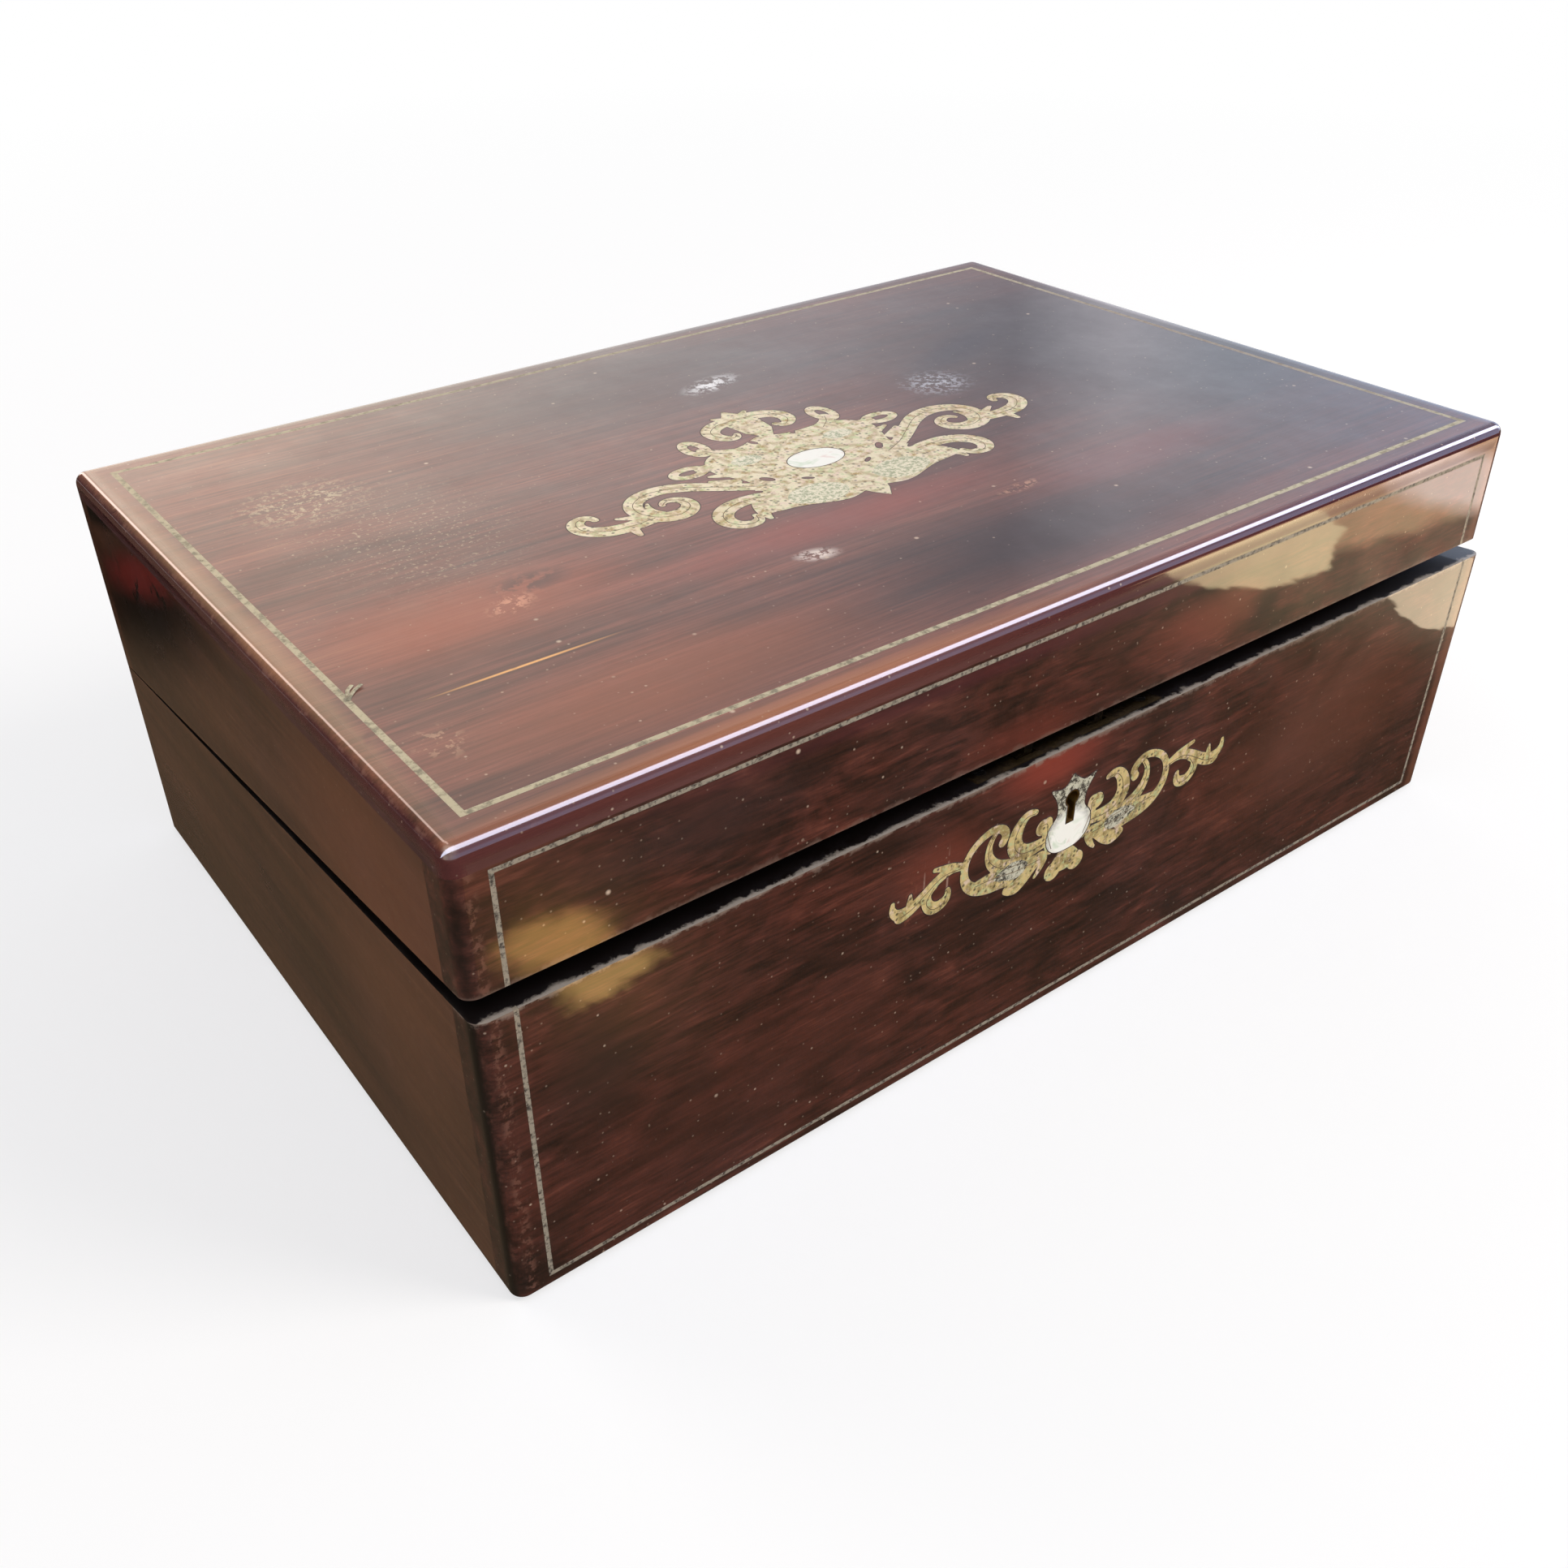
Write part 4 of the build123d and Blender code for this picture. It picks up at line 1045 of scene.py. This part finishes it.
        # A narrow upright strip behind, which draws the thin warm line along the left arris
        beside = add(tree, "Math:ABSOLUTE", add(tree, "Math:ADD", x, 0.02))
        strip = add(tree, "Math:MULTIPLY", add(tree, "MapRange", beside, 0.05, 0.10, 1.0, 0.0),
                    add(tree, "Math:GREATER_THAN", y, 0.3))
        graded = add(tree, "Mix:RGBA", strip, graded, self.gap_light)
        ray = add(tree, "LightPath").outputs
        even = add(tree, "Background", "#F6F8FF", 0.72)
        lit = add(tree, "MixShader", ray["Is Glossy Ray"], even, add(tree, "Background", graded))
        white = add(tree, "Background", "#FFFFFF")
        add(tree, "OutputWorld", add(tree, "MixShader", ray["Is Camera Ray"], lit, white))

    def _lamps(self) -> None:
        """A large soft key from the front right and a weaker light from behind."""
        for name, way, far, size, power, colour in (
                ("key_softbox", (0.50, -0.57, 0.65), 1.9, 0.8, 22.0, "#FFF8F0"),
                ("back_fill", (-0.35, 0.75, 0.56), 2.2, 1.2, 9.0, "#FFF2E4")):
            lamp = bpy.data.lights.new(name, "AREA")
            lamp.shape = "DISK"
            lamp.size = size
            lamp.energy = power
            lamp.color = linear(colour)[:3]
            holder = linked(name, lamp)
            holder.location = Vector(way).normalized() * far
            holder.rotation_euler = Vector(way).to_track_quat("Z", "Y").to_euler()
            holder.visible_glossy = False       # the polish mirrors the sky and the ground instead

    def _camera(self) -> None:
        """The camera, as fitted to the photograph's outline and edges."""
        data = bpy.data.cameras.new("camera")
        data.lens = 34.82
        data.sensor_width = 36.0
        data.clip_start = 0.01
        data.clip_end = 50.0
        camera = linked("camera", data)
        right = Vector((0.7964095, -0.6047565, 0.0012191))
        down = Vector((-0.3448374, -0.4557738, -0.8205836))
        ahead = Vector((0.4968088, 0.6531002, -0.5715253))
        turn = Matrix((right, -down, -ahead)).transposed().to_4x4()
        camera.matrix_world = Matrix.Translation((-0.262773, -0.333130, 0.303982)) @ turn
        bpy.context.scene.camera = camera


@dataclass
class Carcase:
    """The rosewood box itself: its boards, stringing and baize."""

    faded_wood: tuple[str, str, str, str] = ("#3A2A24", "#644034", "#805042", "#9E6A50")
    dark_wood: tuple[str, str, str, str] = ("#160A08", "#341911", "#4E251C", "#6C392B")
    side_wood: tuple[str, str, str, str] = ("#2A1710", "#4C2C1C", "#623A26", "#764C32")
    # Painted shade down the side of the rounded front corner
    corner_shade: str = "#0E0605"
    # The rounded upright corners: a painted highlight, red-brown, towards the front of each,
    # and on the left one painted shade, black, where it turns to the side
    corner: tuple[Mark, ...] = (
        Mark((-173.6, -119, 60), (2.4, 12, 400), "#70483A", 0.65, 0.0, 1.6, 0.55),
        Mark((-178, -116.5, 60), (2.6, 3.0, 400), "#0E0605", 1.0),
        Mark((173.6, -119, 60), (3.6, 12, 400), "#7A4A36", 0.5))

    def dress(self) -> None:
        """Gives the boards, the stringing and the baize their finishes."""
        self._dress_top()
        self._dress_fronts()
        self._dress_sides()
        dress(OldBrass("tarnished_stringing_brass", "#B4AA8C", "#7E7660", tarnish_share=0.5, blotch=2.2,
                       roughness=0.46, metallic=0.2, marks=Face.TOP.marks(
                           (30, -109.5, 240, 3.0, "#8A6E58", 0.75), (130, -109.5, 110, 3.0, "#86645C", 0.8),
                           (168.5, 0, 3.0, 140, "#7E7068", 0.7), (0, 109.5, 240, 3.0, "#8E8270", 0.5))),
              "lid_top_stringing")
        dress(OldBrass("dull_front_stringing_brass", "#948A78", "#40362C", tarnish_share=0.5, blotch=1.4,
                       roughness=0.5, metallic=0.2), "lid_front_stringing", "base_front_stringing")
        dress(WoolBaize(), "base_baize")

    def _dress_top(self) -> None:
        """Gives the lid's top its faded wood, with its stains and scuffs, and a painted highlight on the near
        corner, where the photograph has them.
        """
        marks = Face.TOP.marks(
            # The veneer darkens towards the right and the back, and glows red at the front left
            (150, 10, 185, 190, "#24201F", 1.0),
            (-10, 80, 150, 60, "#342A28", 0.8),
            (14, -86, 96, 34, "#281C1B", 0.95),
            (-130, -32, 60, 26, "#9C5438", 0.6),
            (-110, -88, 75, 26, "#8A4E32", 0.6),
            (-26, -45, 78, 14, "#844438", 0.75),
            (72, -62, 60, 16, "#5A302E", 0.5),
            (-108, -26, 15, 8, "#2C1C1A", 0.7, 0.0, 4.0, 0.8),
            (95, 40, 40, 12, "#1A1A22", 0.6, 20.0),
            (67, 19, 15, 14, "#CCD0D8", 0.55, 0.0, 1.6, 0.6),
            # Scuffs and scratches
            (9, 64, 15, 7, "#E8E6E6", 0.9, 14.0, 2.2, 0.75),
            (-43, -58, 8, 4.5, "#E8D8CC", 0.9, -14.0, 1.6, 0.8),
            (-134, 56, 24, 20, "#D8C8A0", 0.55, 0.0, 1.1, 0.4),
            (-120, 20, 40, 50, "#D8C8A8", 0.4, 0.0, 0.9, 0.15),
            (-130, -62.3, 30, 0.7, "#F0B068", 1.0, 0.0, 8.0, 1.3),
            (28, -59, 12, 3, "#C89878", 0.6, 5.0, 1.4, 0.5),
            (-118, -34, 10, 6, "#D89878", 0.7, 20.0, 1.4, 0.5),
            (-160, -80, 8, 10, "#C8A080", 0.5, 0.0, 1.6, 0.35),
            # The banding outside the stringing is lighter, copper-brown along the front left
            (-174.0, 10, 6.0, 150, "#B08C66", 0.45, 0.0, 9.0, 1.5)) + (
                Mark((-90, -113.5, 126), (130, 6.0, 60), "#B07048", 0.6),
                Mark((120, -115, 126), (110, 4.0, 60), "#4E2630", 0.7),
                # The near corner is rubbed bare and carries a painted highlight
                Mark((-176.4, -116.0, 131.0), (3.2, 3.2, 2.6), "#F4DCC8", 1.0))
        # The top's pale arris colour is partly wear and partly a painted highlight, a thin light line along
        # the arrises
        dress(FrenchPolishedRosewood(
            "rosewood_top", Grain.ALONG_X, self.faded_wood, cloud=(190.0, 45.0), figure=(150.0, 6.0),
            streak=(60.0, 1.1), weights=(0.42, 0.24, 0.34), spread=0.17, pore=0.4, polish=0.44, coat=0.8,
            coat_roughness=0.05, arris_polish=0.07, specks=0.9, worn="#C89880", wear=0.3, rim_wear=0.3,
            edge="#441C24", lid=True, marks=marks), "lid_top_board")

    def _dress_fronts(self) -> None:
        """Gives the lid's and the base's front their dark wood."""
        front = FrenchPolishedRosewood(
            "rosewood_front", Grain.ALONG_X, self.dark_wood, cloud=(42.0, 20.0), figure=(26.0, 2.6),
            streak=(10.0, 0.7), weights=(0.40, 0.34, 0.26), swirl=1.6, spread=0.16, pore=0.3, polish=0.36,
            coat_roughness=0.03, specks=1.0, relief=0.05, wear=0.5, worn="#7A4636", rim_wear=0.7,
            rim_worn="#8C7A6C", marks=Face.BASE_FRONT.marks(
                (-12, 86, 26, 10, "#8A3426", 0.7),
                (-50, 72, 22, 14, "#70301F", 0.6),
                (-60, 62, 3, 14, "#8A5038", 0.6, 0.0, 1.6, 0.4),
                (110, 50, 70, 34, "#5C3224", 0.7),
                (-110, 30, 80, 30, "#4A241A", 0.4),
                (-150, 60, 18, 26, "#2E1A14", 0.7),
                (-48, 66, 0.5, 12, "#A08070", 0.8, 0.0, 3.0, 1.0),
                (-56, 66, 0.4, 9, "#A08070", 0.7, 0.0, 3.0, 1.0)) + self.corner)
        dress(front, "base_front_panel")
        dress(replace(
            front, name="rosewood_lid_front", cloud=(38.0, 16.0), figure=(20.0, 3.0), streak=(9.0, 0.7),
            weights=(0.42, 0.34, 0.24), swirl=1.8, wear=0.4, worn="#6E3C34", rim_wear=0.6,
            rim_worn="#6E564A", lid=True, offset=(0.3, 0.0, 0.2), marks=Face.LID_FRONT.marks(
                (46, 108, 34, 11, "#7A3828", 0.6),
                (-20, 98, 30, 8, "#6A2C20", 0.5),
                (70, 104, 9, 9, "#1C0E0C", 0.8),
                (0, 121, 190, 4, "#4A1C20", 0.7),
                (-120, 112, 50, 12, "#30201E", 0.6)) + self.corner), "lid_front_panel")

    def _dress_sides(self) -> None:
        """Gives the sides and the backs their quieter wood."""
        # Painted shade on the side face by the rounded front corner, where it turns away from the front
        corner_shade_mark = Mark((-178, -117, 60), (3.0, 4.0, 400), self.corner_shade, 1.0)
        back = FrenchPolishedRosewood(
            "rosewood_back", Grain.ALONG_X, self.side_wood, swirl=0.4, spread=0.2, polish=0.37,
            specks=0.3, relief=0.15, wear=0.15, rim_wear=0.3, offset=(0.0, 0.3, 0.5))
        side = replace(back, name="rosewood_side", grain=Grain.ALONG_Y, cloud=(150.0, 40.0), pore=0.15,
                       weights=(0.42, 0.26, 0.32), offset=(0.0, 0.0, 0.0),
                       marks=(*Face.LEFT.marks((-70, 60, 60, 50, "#7A4A30", 0.5)), corner_shade_mark))
        # The lid's sides: a brown patch towards the front, and near the back a painted reflection, a red band
        # between two black ones
        lid_side = replace(side, name="rosewood_lid_side", lid=True, offset=(0.1, 0.4, 0.0), marks=(
            *Face.LEFT.marks((-80, 100, 70, 60, "#80482E", 0.6),
                             (72, 103, 92, 27, "#120605", 0.92, 0.0, 0.0, 0.5, -24.0),
                             (70, 113.5, 62, 10, "#7E1E18", 0.9, 0.0, 7.0, 1.2, -20.0),
                             (96, 122, 66, 6, "#120605", 1.0, 0.0, 0.0, 0.5, -14.0)), corner_shade_mark))
        dress(back, "base_back_panel", "lid_back_panel")
        dress(side, "base_left_panel", "base_right_panel")
        dress(lid_side, "lid_left_panel", "lid_right_panel")


@dataclass
class Inlay:
    """The engraved brass and pearl of the lid and the escutcheon, with what the graver cut."""

    ribbons: RibbonLine
    shift: float = -3.0       # how far left of the middle the lid's inlay sits
    lock_x: float = -4.0
    head_z: float = 71.4      # height of the keyhole's round head
    mastic: float = 0.3
    cut: float = 0.26
    proud: float = 0.03
    leaf_reach: float = 2.5   # how near an outline's middle lies to that of its own pearl
    sliver: float = 1.1       # width of the lifted stringing
    sliver_proud: float = 0.12
    lifted: tuple = (
        ((-168.2, -53.6, 0.0), (-167.0, -52.0, 0.1), (-165.2, -50.4, 0.3), (-163.2, -49.4, 0.5)),
        ((-167.6, -51.6, 0.0), (-166.6, -49.6, 0.2), (-165.0, -48.2, 0.3)))
    lid_scrolls: tuple = (
        ((2.5, 31.6), (8, 31), (12.6, 27.6), (13.0, 22.8), (9.8, 19.6), (7.2, 21.4)),
        ((17, 10), (21, 13.5), (23, 17)),
        ((20, -17), (28, -13), (36, -7), (44, -1.4), (53, 0.4), (60, -3.2), (61.8, -9),
         (59, -14.6), (53, -16.6), (48.2, -13.8), (47.6, -9.6), (51, -7), (54, -8.8)),
        ((60, -14.4), (67, -15), (74.4, -14), (79.6, -9.4), (79.0, -4.6), (75.8, -3.0), (73.6, -5.6)),
        ((28, -21), (37, -20.4), (44, -23.6), (46.2, -28.8), (43.8, -33), (39.4, -33.2), (37.8, -30)))
    lock_scrolls: tuple = (
        ((6, -13.8), (8.0, -8.6), (8.6, -4.4), (10.6, -4.2)),
        ((13.6, 1.2), (17.2, 1.2), (19.8, -2), (20.4, -6.4), (18.0, -9.8), (13.6, -10.8), (8.4, -10.4)),
        ((28.0, 0.4), (29.8, -3.2), (28.8, -8), (23.6, -12.2), (17.6, -13.2)),
        ((34.0, -13.4), (27.0, -13.8), (19.0, -15.2), (10.0, -15.4)),
        ((39.0, -4.8), (45.6, -4.4), (51.2, -7.4), (55.6, -10), (59.2, -10.8)),
        ((48.4, -6.6), (50.8, -10.4), (48.4, -13.6), (44.8, -13.2), (43.6, -10)))

    def dress(self) -> None:
        """Gives the inlaid pieces their finishes."""
        dress(OldBrass("engraved_inlay_brass", "#ECE0C0", "#A88E5C", tarnish_share=0.4, blotch=3.0,
                       roughness=0.36, metallic=0.4, engraved=True, punched="#6E6348",
                       marks=Face.TOP.marks((-62, -22, 26, 16, "#CDB078", 0.5),
                                            (60, -2, 28, 16, "#CFB894", 0.5))), "lid_cartouche")
        dress(OldBrass("engraved_lock_brass", "#DCC486", "#86703E", tarnish_share=0.4, blotch=3.5,
                       roughness=0.34, metallic=0.3, engraved=True, punched="#4E452E",
                       marks=Face.BASE_FRONT.marks((-26, 58, 14, 9, "#5C564A", 0.8, 0.0, 1.0, 0.7),
                                                   (18, 58, 14, 8, "#5C564A", 0.8, 0.0, 1.0, 0.7))),
              "escutcheon_scrolls")
        dress(MotherOfPearl("mother_of_pearl", (-3.0, -9.5, 129.0), (13.0, 10.0, 60.0),
                            ("#9CA078", "#E6DCBC")), "lid_pearl")
        dress(MotherOfPearl("grimed_mother_of_pearl", (-4.0, -119.0, 60.5), (7.5, 30.0, 7.0),
                            ("#4C4840", "#C0BCA6")), "escutcheon_pearl")

    def _rounds(self, nodes: tuple[str, str], normal: Vector) -> list[list[Vector]]:
        """Finds the outlines that mastic shows round.

        Args:
            nodes: the brass and its pearl.
            normal: the way their face looks.

        Returns:
            The outlines, but for those of the small pearl leaves, which are let in tight.
        """
        brass, pearl = (face_outline(node, normal) for node in nodes)
        leaves = [middle for middle in map(middle_of, pearl)
                  if abs(middle.x - self.shift * MM) > self.leaf_reach * MM]
        return [line for line in brass + pearl if not any(
            (leaf - middle_of(line)).length < self.leaf_reach * MM for leaf in leaves)]

    def build(self) -> None:
        """Lays the mastic lines round the inlays and the graver's lines on them."""
        dark = GroundColour("inlay_mastic", "#1C100B", "#35201A").material()
        cut = GroundColour("graved_line", "#4A3A22", "#6E5A38").material()
        pieces = []
        for name, nodes, normal in (
                ("lid_inlay_mastic", ("lid_cartouche", "lid_pearl"), LID_UP),
                ("lock_inlay_mastic", ("escutcheon_scrolls", "escutcheon_pearl"), FRONT_OUT)):
            pieces.append(self.ribbons.lay(name, self._rounds(nodes, normal), normal, self.mastic, dark,
                                           self.proud, closed=True))
        on_top, on_front = (
            [[(side * x, y) for x, y in smooth_line(scroll)] for side in (-1, 1) for scroll in scrolls]
            for scrolls in (self.lid_scrolls, self.lock_scrolls))
        on_top = [[on_lid(self.shift + x, y) for x, y in line] for line in on_top]
        on_front = [[Vector(((self.lock_x + x) * MM, -HALF_DEPTH, (self.head_z + y) * MM))
                     for x, y in line] for line in on_front]
        for name, lines, normal in (("lid_graved_lines", on_top, LID_UP),
                                    ("lock_graved_lines", on_front, FRONT_OUT)):
            pieces.append(self.ribbons.lay(name, lines, normal, self.cut, cut, self.proud))
        # A sliver of the left stringing has lifted out of its groove
        lifted = [[on_lid(*point) for point in line] for line in self.lifted]
        string = bpy.data.materials["tarnished_stringing_brass"]
        pieces.append(self.ribbons.lay("lid_lifted_stringing", lifted, LID_UP, self.sliver, string,
                                       self.sliver_proud))
        for piece in pieces:
            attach(piece, "lid" if piece.name.startswith("lid") else "base")


@dataclass
class Screws:
    """Slotted countersunk screws, set flush where the solids have theirs; all sizes in millimetres."""

    head_radius: float = 1.9
    head_height: float = 1.1
    shank_radius: float = 0.9
    length: float = 7.0
    slot_width: float = 0.45
    slot_depth: float = 0.5

    def build(self) -> None:
        """Makes the screws of each body in one mesh."""
        steel = AgedSteel().material()
        tree = self._tree()
        sizes = {name: value * MM for name, value in asdict(self).items()}
        for name, body, nodes in (
                ("slotted_screws_base", "base", ("lock_screws", "base_hinge_screws")),
                ("slotted_screws_lid", "lid", ("lid_hook_screws", "lid_hinge_screws"))):
            points, aims = self._places(nodes)
            mesh = bpy.data.meshes.new(name)
            mesh.from_pydata(points, [], [])
            aim = mesh.attributes.new("aim", "FLOAT_VECTOR", "POINT")
            aim.data.foreach_set("vector", [value for aim in aims for value in aim])
            turn = mesh.attributes.new("turn", "FLOAT", "POINT")
            turn.data.foreach_set("value", [(index * SLOT_STEP) % math.pi for index in range(len(points))])
            piece = evaluated(name, mesh, tree, material=steel, **sizes)
            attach(piece, body)
            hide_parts(*nodes)

    def _tree(self) -> Tree:
        """Builds the tree that puts a screw at each point.

        Returns:
            The tree.
        """
        tree, given = geometry_tree("slotted_screw", **dict.fromkeys(asdict(self), "Float"),
                                    material="Material")
        head = add(tree, "GeometryNodeMeshCone", 32, None, None, given["head_radius"],
                   given["shank_radius"], given["head_height"])
        drop = add(tree, "Math:MULTIPLY", given["head_height"], -1.0)
        head = add(tree, "GeometryNodeTransform", head, add(tree, "CombineXYZ", None, None, drop))
        wide = add(tree, "Math:MULTIPLY", given["head_radius"], 3.0)
        deep = add(tree, "Math:MULTIPLY", given["slot_depth"], 2.0)
        bar = add(tree, "GeometryNodeMeshCube", add(tree, "CombineXYZ", wide, given["slot_width"], deep))
        head = add(tree, "GeometryNodeMeshBoolean", head, bar, operation="DIFFERENCE")
        stem = add(tree, "Math:SUBTRACT", given["length"], given["head_height"])
        shank = add(tree, "GeometryNodeMeshCylinder", 16, None, None, given["shank_radius"], stem)
        middle = add(tree, "Math:ADD", given["length"], given["head_height"])
        middle = add(tree, "Math:MULTIPLY", middle, -0.5)
        shank = add(tree, "GeometryNodeTransform", shank, add(tree, "CombineXYZ", None, None, middle))
        screw = add(tree, "GeometryNodeJoinGeometry", head)
        tree.links.new(shank.outputs[0], screw.inputs[0])
        aim = add(tree, "GeometryNodeInputNamedAttribute", "aim", data_type="FLOAT_VECTOR")
        turn = add(tree, "GeometryNodeInputNamedAttribute", "turn", data_type="FLOAT")
        lean = add(tree, "FunctionNodeAlignRotationToVector", None, None, aim, axis="Z")
        spin = add(tree, "FunctionNodeAxisAngleToRotation", (0.0, 0.0, 1.0), turn)
        turned = add(tree, "FunctionNodeRotateRotation", lean, spin, rotation_space="LOCAL")
        cloud = add(tree, "GeometryNodeMeshToPoints", given["Geometry"])
        placed = add(tree, "GeometryNodeInstanceOnPoints", cloud, None, screw, None, None, turned)
        end_tree(tree, placed, given["material"])
        return tree

    def _places(self, nodes: tuple[str, ...]) -> tuple[list[Vector], list[Vector]]:
        """Finds the middle of each screw's head and the way it looks.

        Args:
            nodes: CAD nodes that hold the screws.

        Returns:
            Head middles in metres, and outward directions.
        """
        points, aims = [], []
        for node in nodes:
            work = welded(node)
            up = AJAR_TURN @ SPLIT_UP if node.startswith("lid") else SPLIT_UP
            left = dict.fromkeys(work.verts)
            while left:
                stack, solid = [next(iter(left))], []
                del left[stack[0]]
                while stack:
                    vert = stack.pop()
                    solid.append(vert.co.copy())
                    for other in (edge.other_vert(vert) for edge in vert.link_edges):
                        if other in left:
                            del left[other]
                            stack.append(other)
                reach = [co.dot(up) for co in solid]
                axis = middle_of([co - up * far for co, far in zip(solid, reach)])
                # The head is the wider end
                wide = {end: max((co - up * far - axis).length for co, far in zip(solid, reach)
                                 if abs(far - end) < 1e-5) for end in (min(reach), max(reach))}
                head = max(wide, key=wide.get)
                aims.append(up if head == max(reach) else -up)
                points.append(axis + up * head)
            work.free()
        return points, aims


@dataclass
class WritingSurface:
    """The two leather-covered flaps: skiver, its gilt border and the ribbon tabs. In millimetres."""

    ribbons: RibbonLine
    inset: tuple[float, float] = (8.0, 11.5)     # of the two gilt rules, from the leather's edge
    rule: float = 0.7
    proud: float = 0.05
    stamp: float = 2.6                           # across a stamped lozenge
    stamp_inset: float = 15.5
    stamp_height: float = 0.05
    pitch: float = 5.2

    def build(self) -> None:
        """Dresses the flaps and tools the leather."""
        dress(GoatSkiver(), "base_flap_leather", "lid_flap_leather")
        dress(GroundColour("silk_ribbon", "#232748", "#323862", 1.2, 0.0, 0.55),
              "base_flap_tab", "lid_flap_tab")
        gilt = GroundColour("gold_leaf_tooling", "#8A6A30", "#D2A850", 4.0, 1.0, 0.38).material()
        tree = self._stamps()
        # The base's flap looks up, the lid's down
        for body, ajar, sign in (("base_flap", 0.0, 1.0), ("lid_flap", AJAR, -1.0)):
            turn = Matrix.Rotation(-ajar, 3, "X") @ Matrix.Rotation(-SLANT, 3, "X")
            normal = turn @ Vector((0.0, 0.0, sign))
            pieces = [self.ribbons.lay(
                f"{body}_gilt_rule_{index}", [self._round(body, turn, sign, inset, 4)], normal, self.rule,
                gilt, self.proud, closed=True) for index, inset in enumerate(self.inset, 1)]
            mesh = bpy.data.meshes.new(body + "_stamps")
            mesh.from_pydata(self._round(body, turn, sign, self.stamp_inset, 1),
                             [(0, 1), (1, 2), (2, 3), (3, 0)], [])
            pieces.append(evaluated(body + "_gilt_stamps", mesh, tree, pitch=self.pitch * MM,
                                    size=self.stamp * MM, normal=normal, material=gilt))
            for piece in pieces:
                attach(piece, body)

    def _round(self, body: str, turn: Matrix, sign: float, inset: float, steps: int) -> list[Vector]:
        """Goes round a flap's leather inside its edge.

        Args:
            body: the flap's body.
            turn: from the flap's flat frame to the scene, about the hinge line.
            sign: 1 where the leather looks up, -1 where it looks down.
            inset: how far inside the edge, in millimetres.
            steps: points for each side.

        Returns:
            The points, in metres.
        """
        back = turn.inverted()
        flat = [back @ (vert.co - HINGE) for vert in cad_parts[body + "_leather"].data.vertices]
        low, high = (Vector([pick(co[axis] for co in flat) for axis in range(3)]) for pick in (min, max))
        face = (high if sign > 0 else low).z
        edge = inset * MM
        x0, x1, y0, y1 = low.x + edge, high.x - edge, low.y + edge, high.y - edge
        corners = [Vector((x0, y0, face)), Vector((x1, y0, face)), Vector((x1, y1, face)),
                   Vector((x0, y1, face))]
        return [HINGE + turn @ here.lerp(there, step / steps)
                for here, there in zip(corners, corners[1:] + corners[:1]) for step in range(steps)]

    def _stamps(self) -> Tree:
        """Builds the tree that stamps lozenges in a row along a line.

        Returns:
            The tree.
        """
        tree, given = geometry_tree("gilt_stamps", pitch="Float", size="Float", normal="Vector",
                                    material="Material")
        path = add(tree, "GeometryNodeMeshToCurve", given["Geometry"])
        spots = add(tree, "GeometryNodeCurveToPoints", path, given["pitch"], mode="LENGTH")
        half = add(tree, "Math:MULTIPLY", given["size"], 0.5)
        lozenge = add(tree, "GeometryNodeMeshCone", 4, None, None, 0.0, half, self.stamp_height * MM)
        lean = add(tree, "FunctionNodeAlignRotationToVector", None, None, given["normal"], axis="Z")
        placed = add(tree, "GeometryNodeInstanceOnPoints", spots, None, lozenge, None, None, lean)
        end_tree(tree, placed, given["material"])
        return tree


@dataclass
class Fittings:
    """Hinges, lock, ink bottles and the plain wood inside."""

    def dress(self) -> None:
        """Gives the fittings and the inside their finishes."""
        dress(OldBrass("aged_fitting_brass", "#B8924A", "#6A4E28", roughness=0.34), *(
            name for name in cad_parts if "hinge_leaf" in name or name.endswith("_pivots")
            or name.startswith(("hinge_pins", "keyhole_liner", "ink_collar", "ink_cap"))))
        # The selvedge and the hook plate lie in the gap between lid and base: their brass is darkened to near
        # black as painted shade
        dress(OldBrass("gap_shaded_lock_plate_brass", "#4A3A22", "#241B12", tarnish_share=0.6, roughness=0.5),
              "lock_selvedge", "lid_hook_plate")
        dress(AgedSteel(), "lock_case", "lock_bolt", "lock_key_pin")
        dress(MouldedGlass(), "ink_bottle_left", "ink_bottle_right")
        dress(OiledMahogany("oiled_mahogany_long", Grain.ALONG_X), "pen_partition", "pen_tray",
              "base_flap_board", "lid_flap_board", "lid_bearer_front", "base_bottom_board")
        dress(OiledMahogany("oiled_mahogany_across", Grain.ALONG_Y), "pen_tray_rests", "ink_divider_left",
              "ink_divider_right", "base_bearer_left", "base_bearer_right", "lid_bearer_left",
              "lid_bearer_right")


def main() -> None:
    """Builds the studio and every part of the box in order."""
    logging.basicConfig(level=logging.INFO, format="%(message)s")
    Studio().build()
    ribbons = RibbonLine()
    Carcase().dress()
    inlay = Inlay(ribbons)
    inlay.dress()
    inlay.build()
    Screws().build()
    WritingSurface(ribbons).build()
    Fittings().dress()


if __name__ == "__main__":
    main()
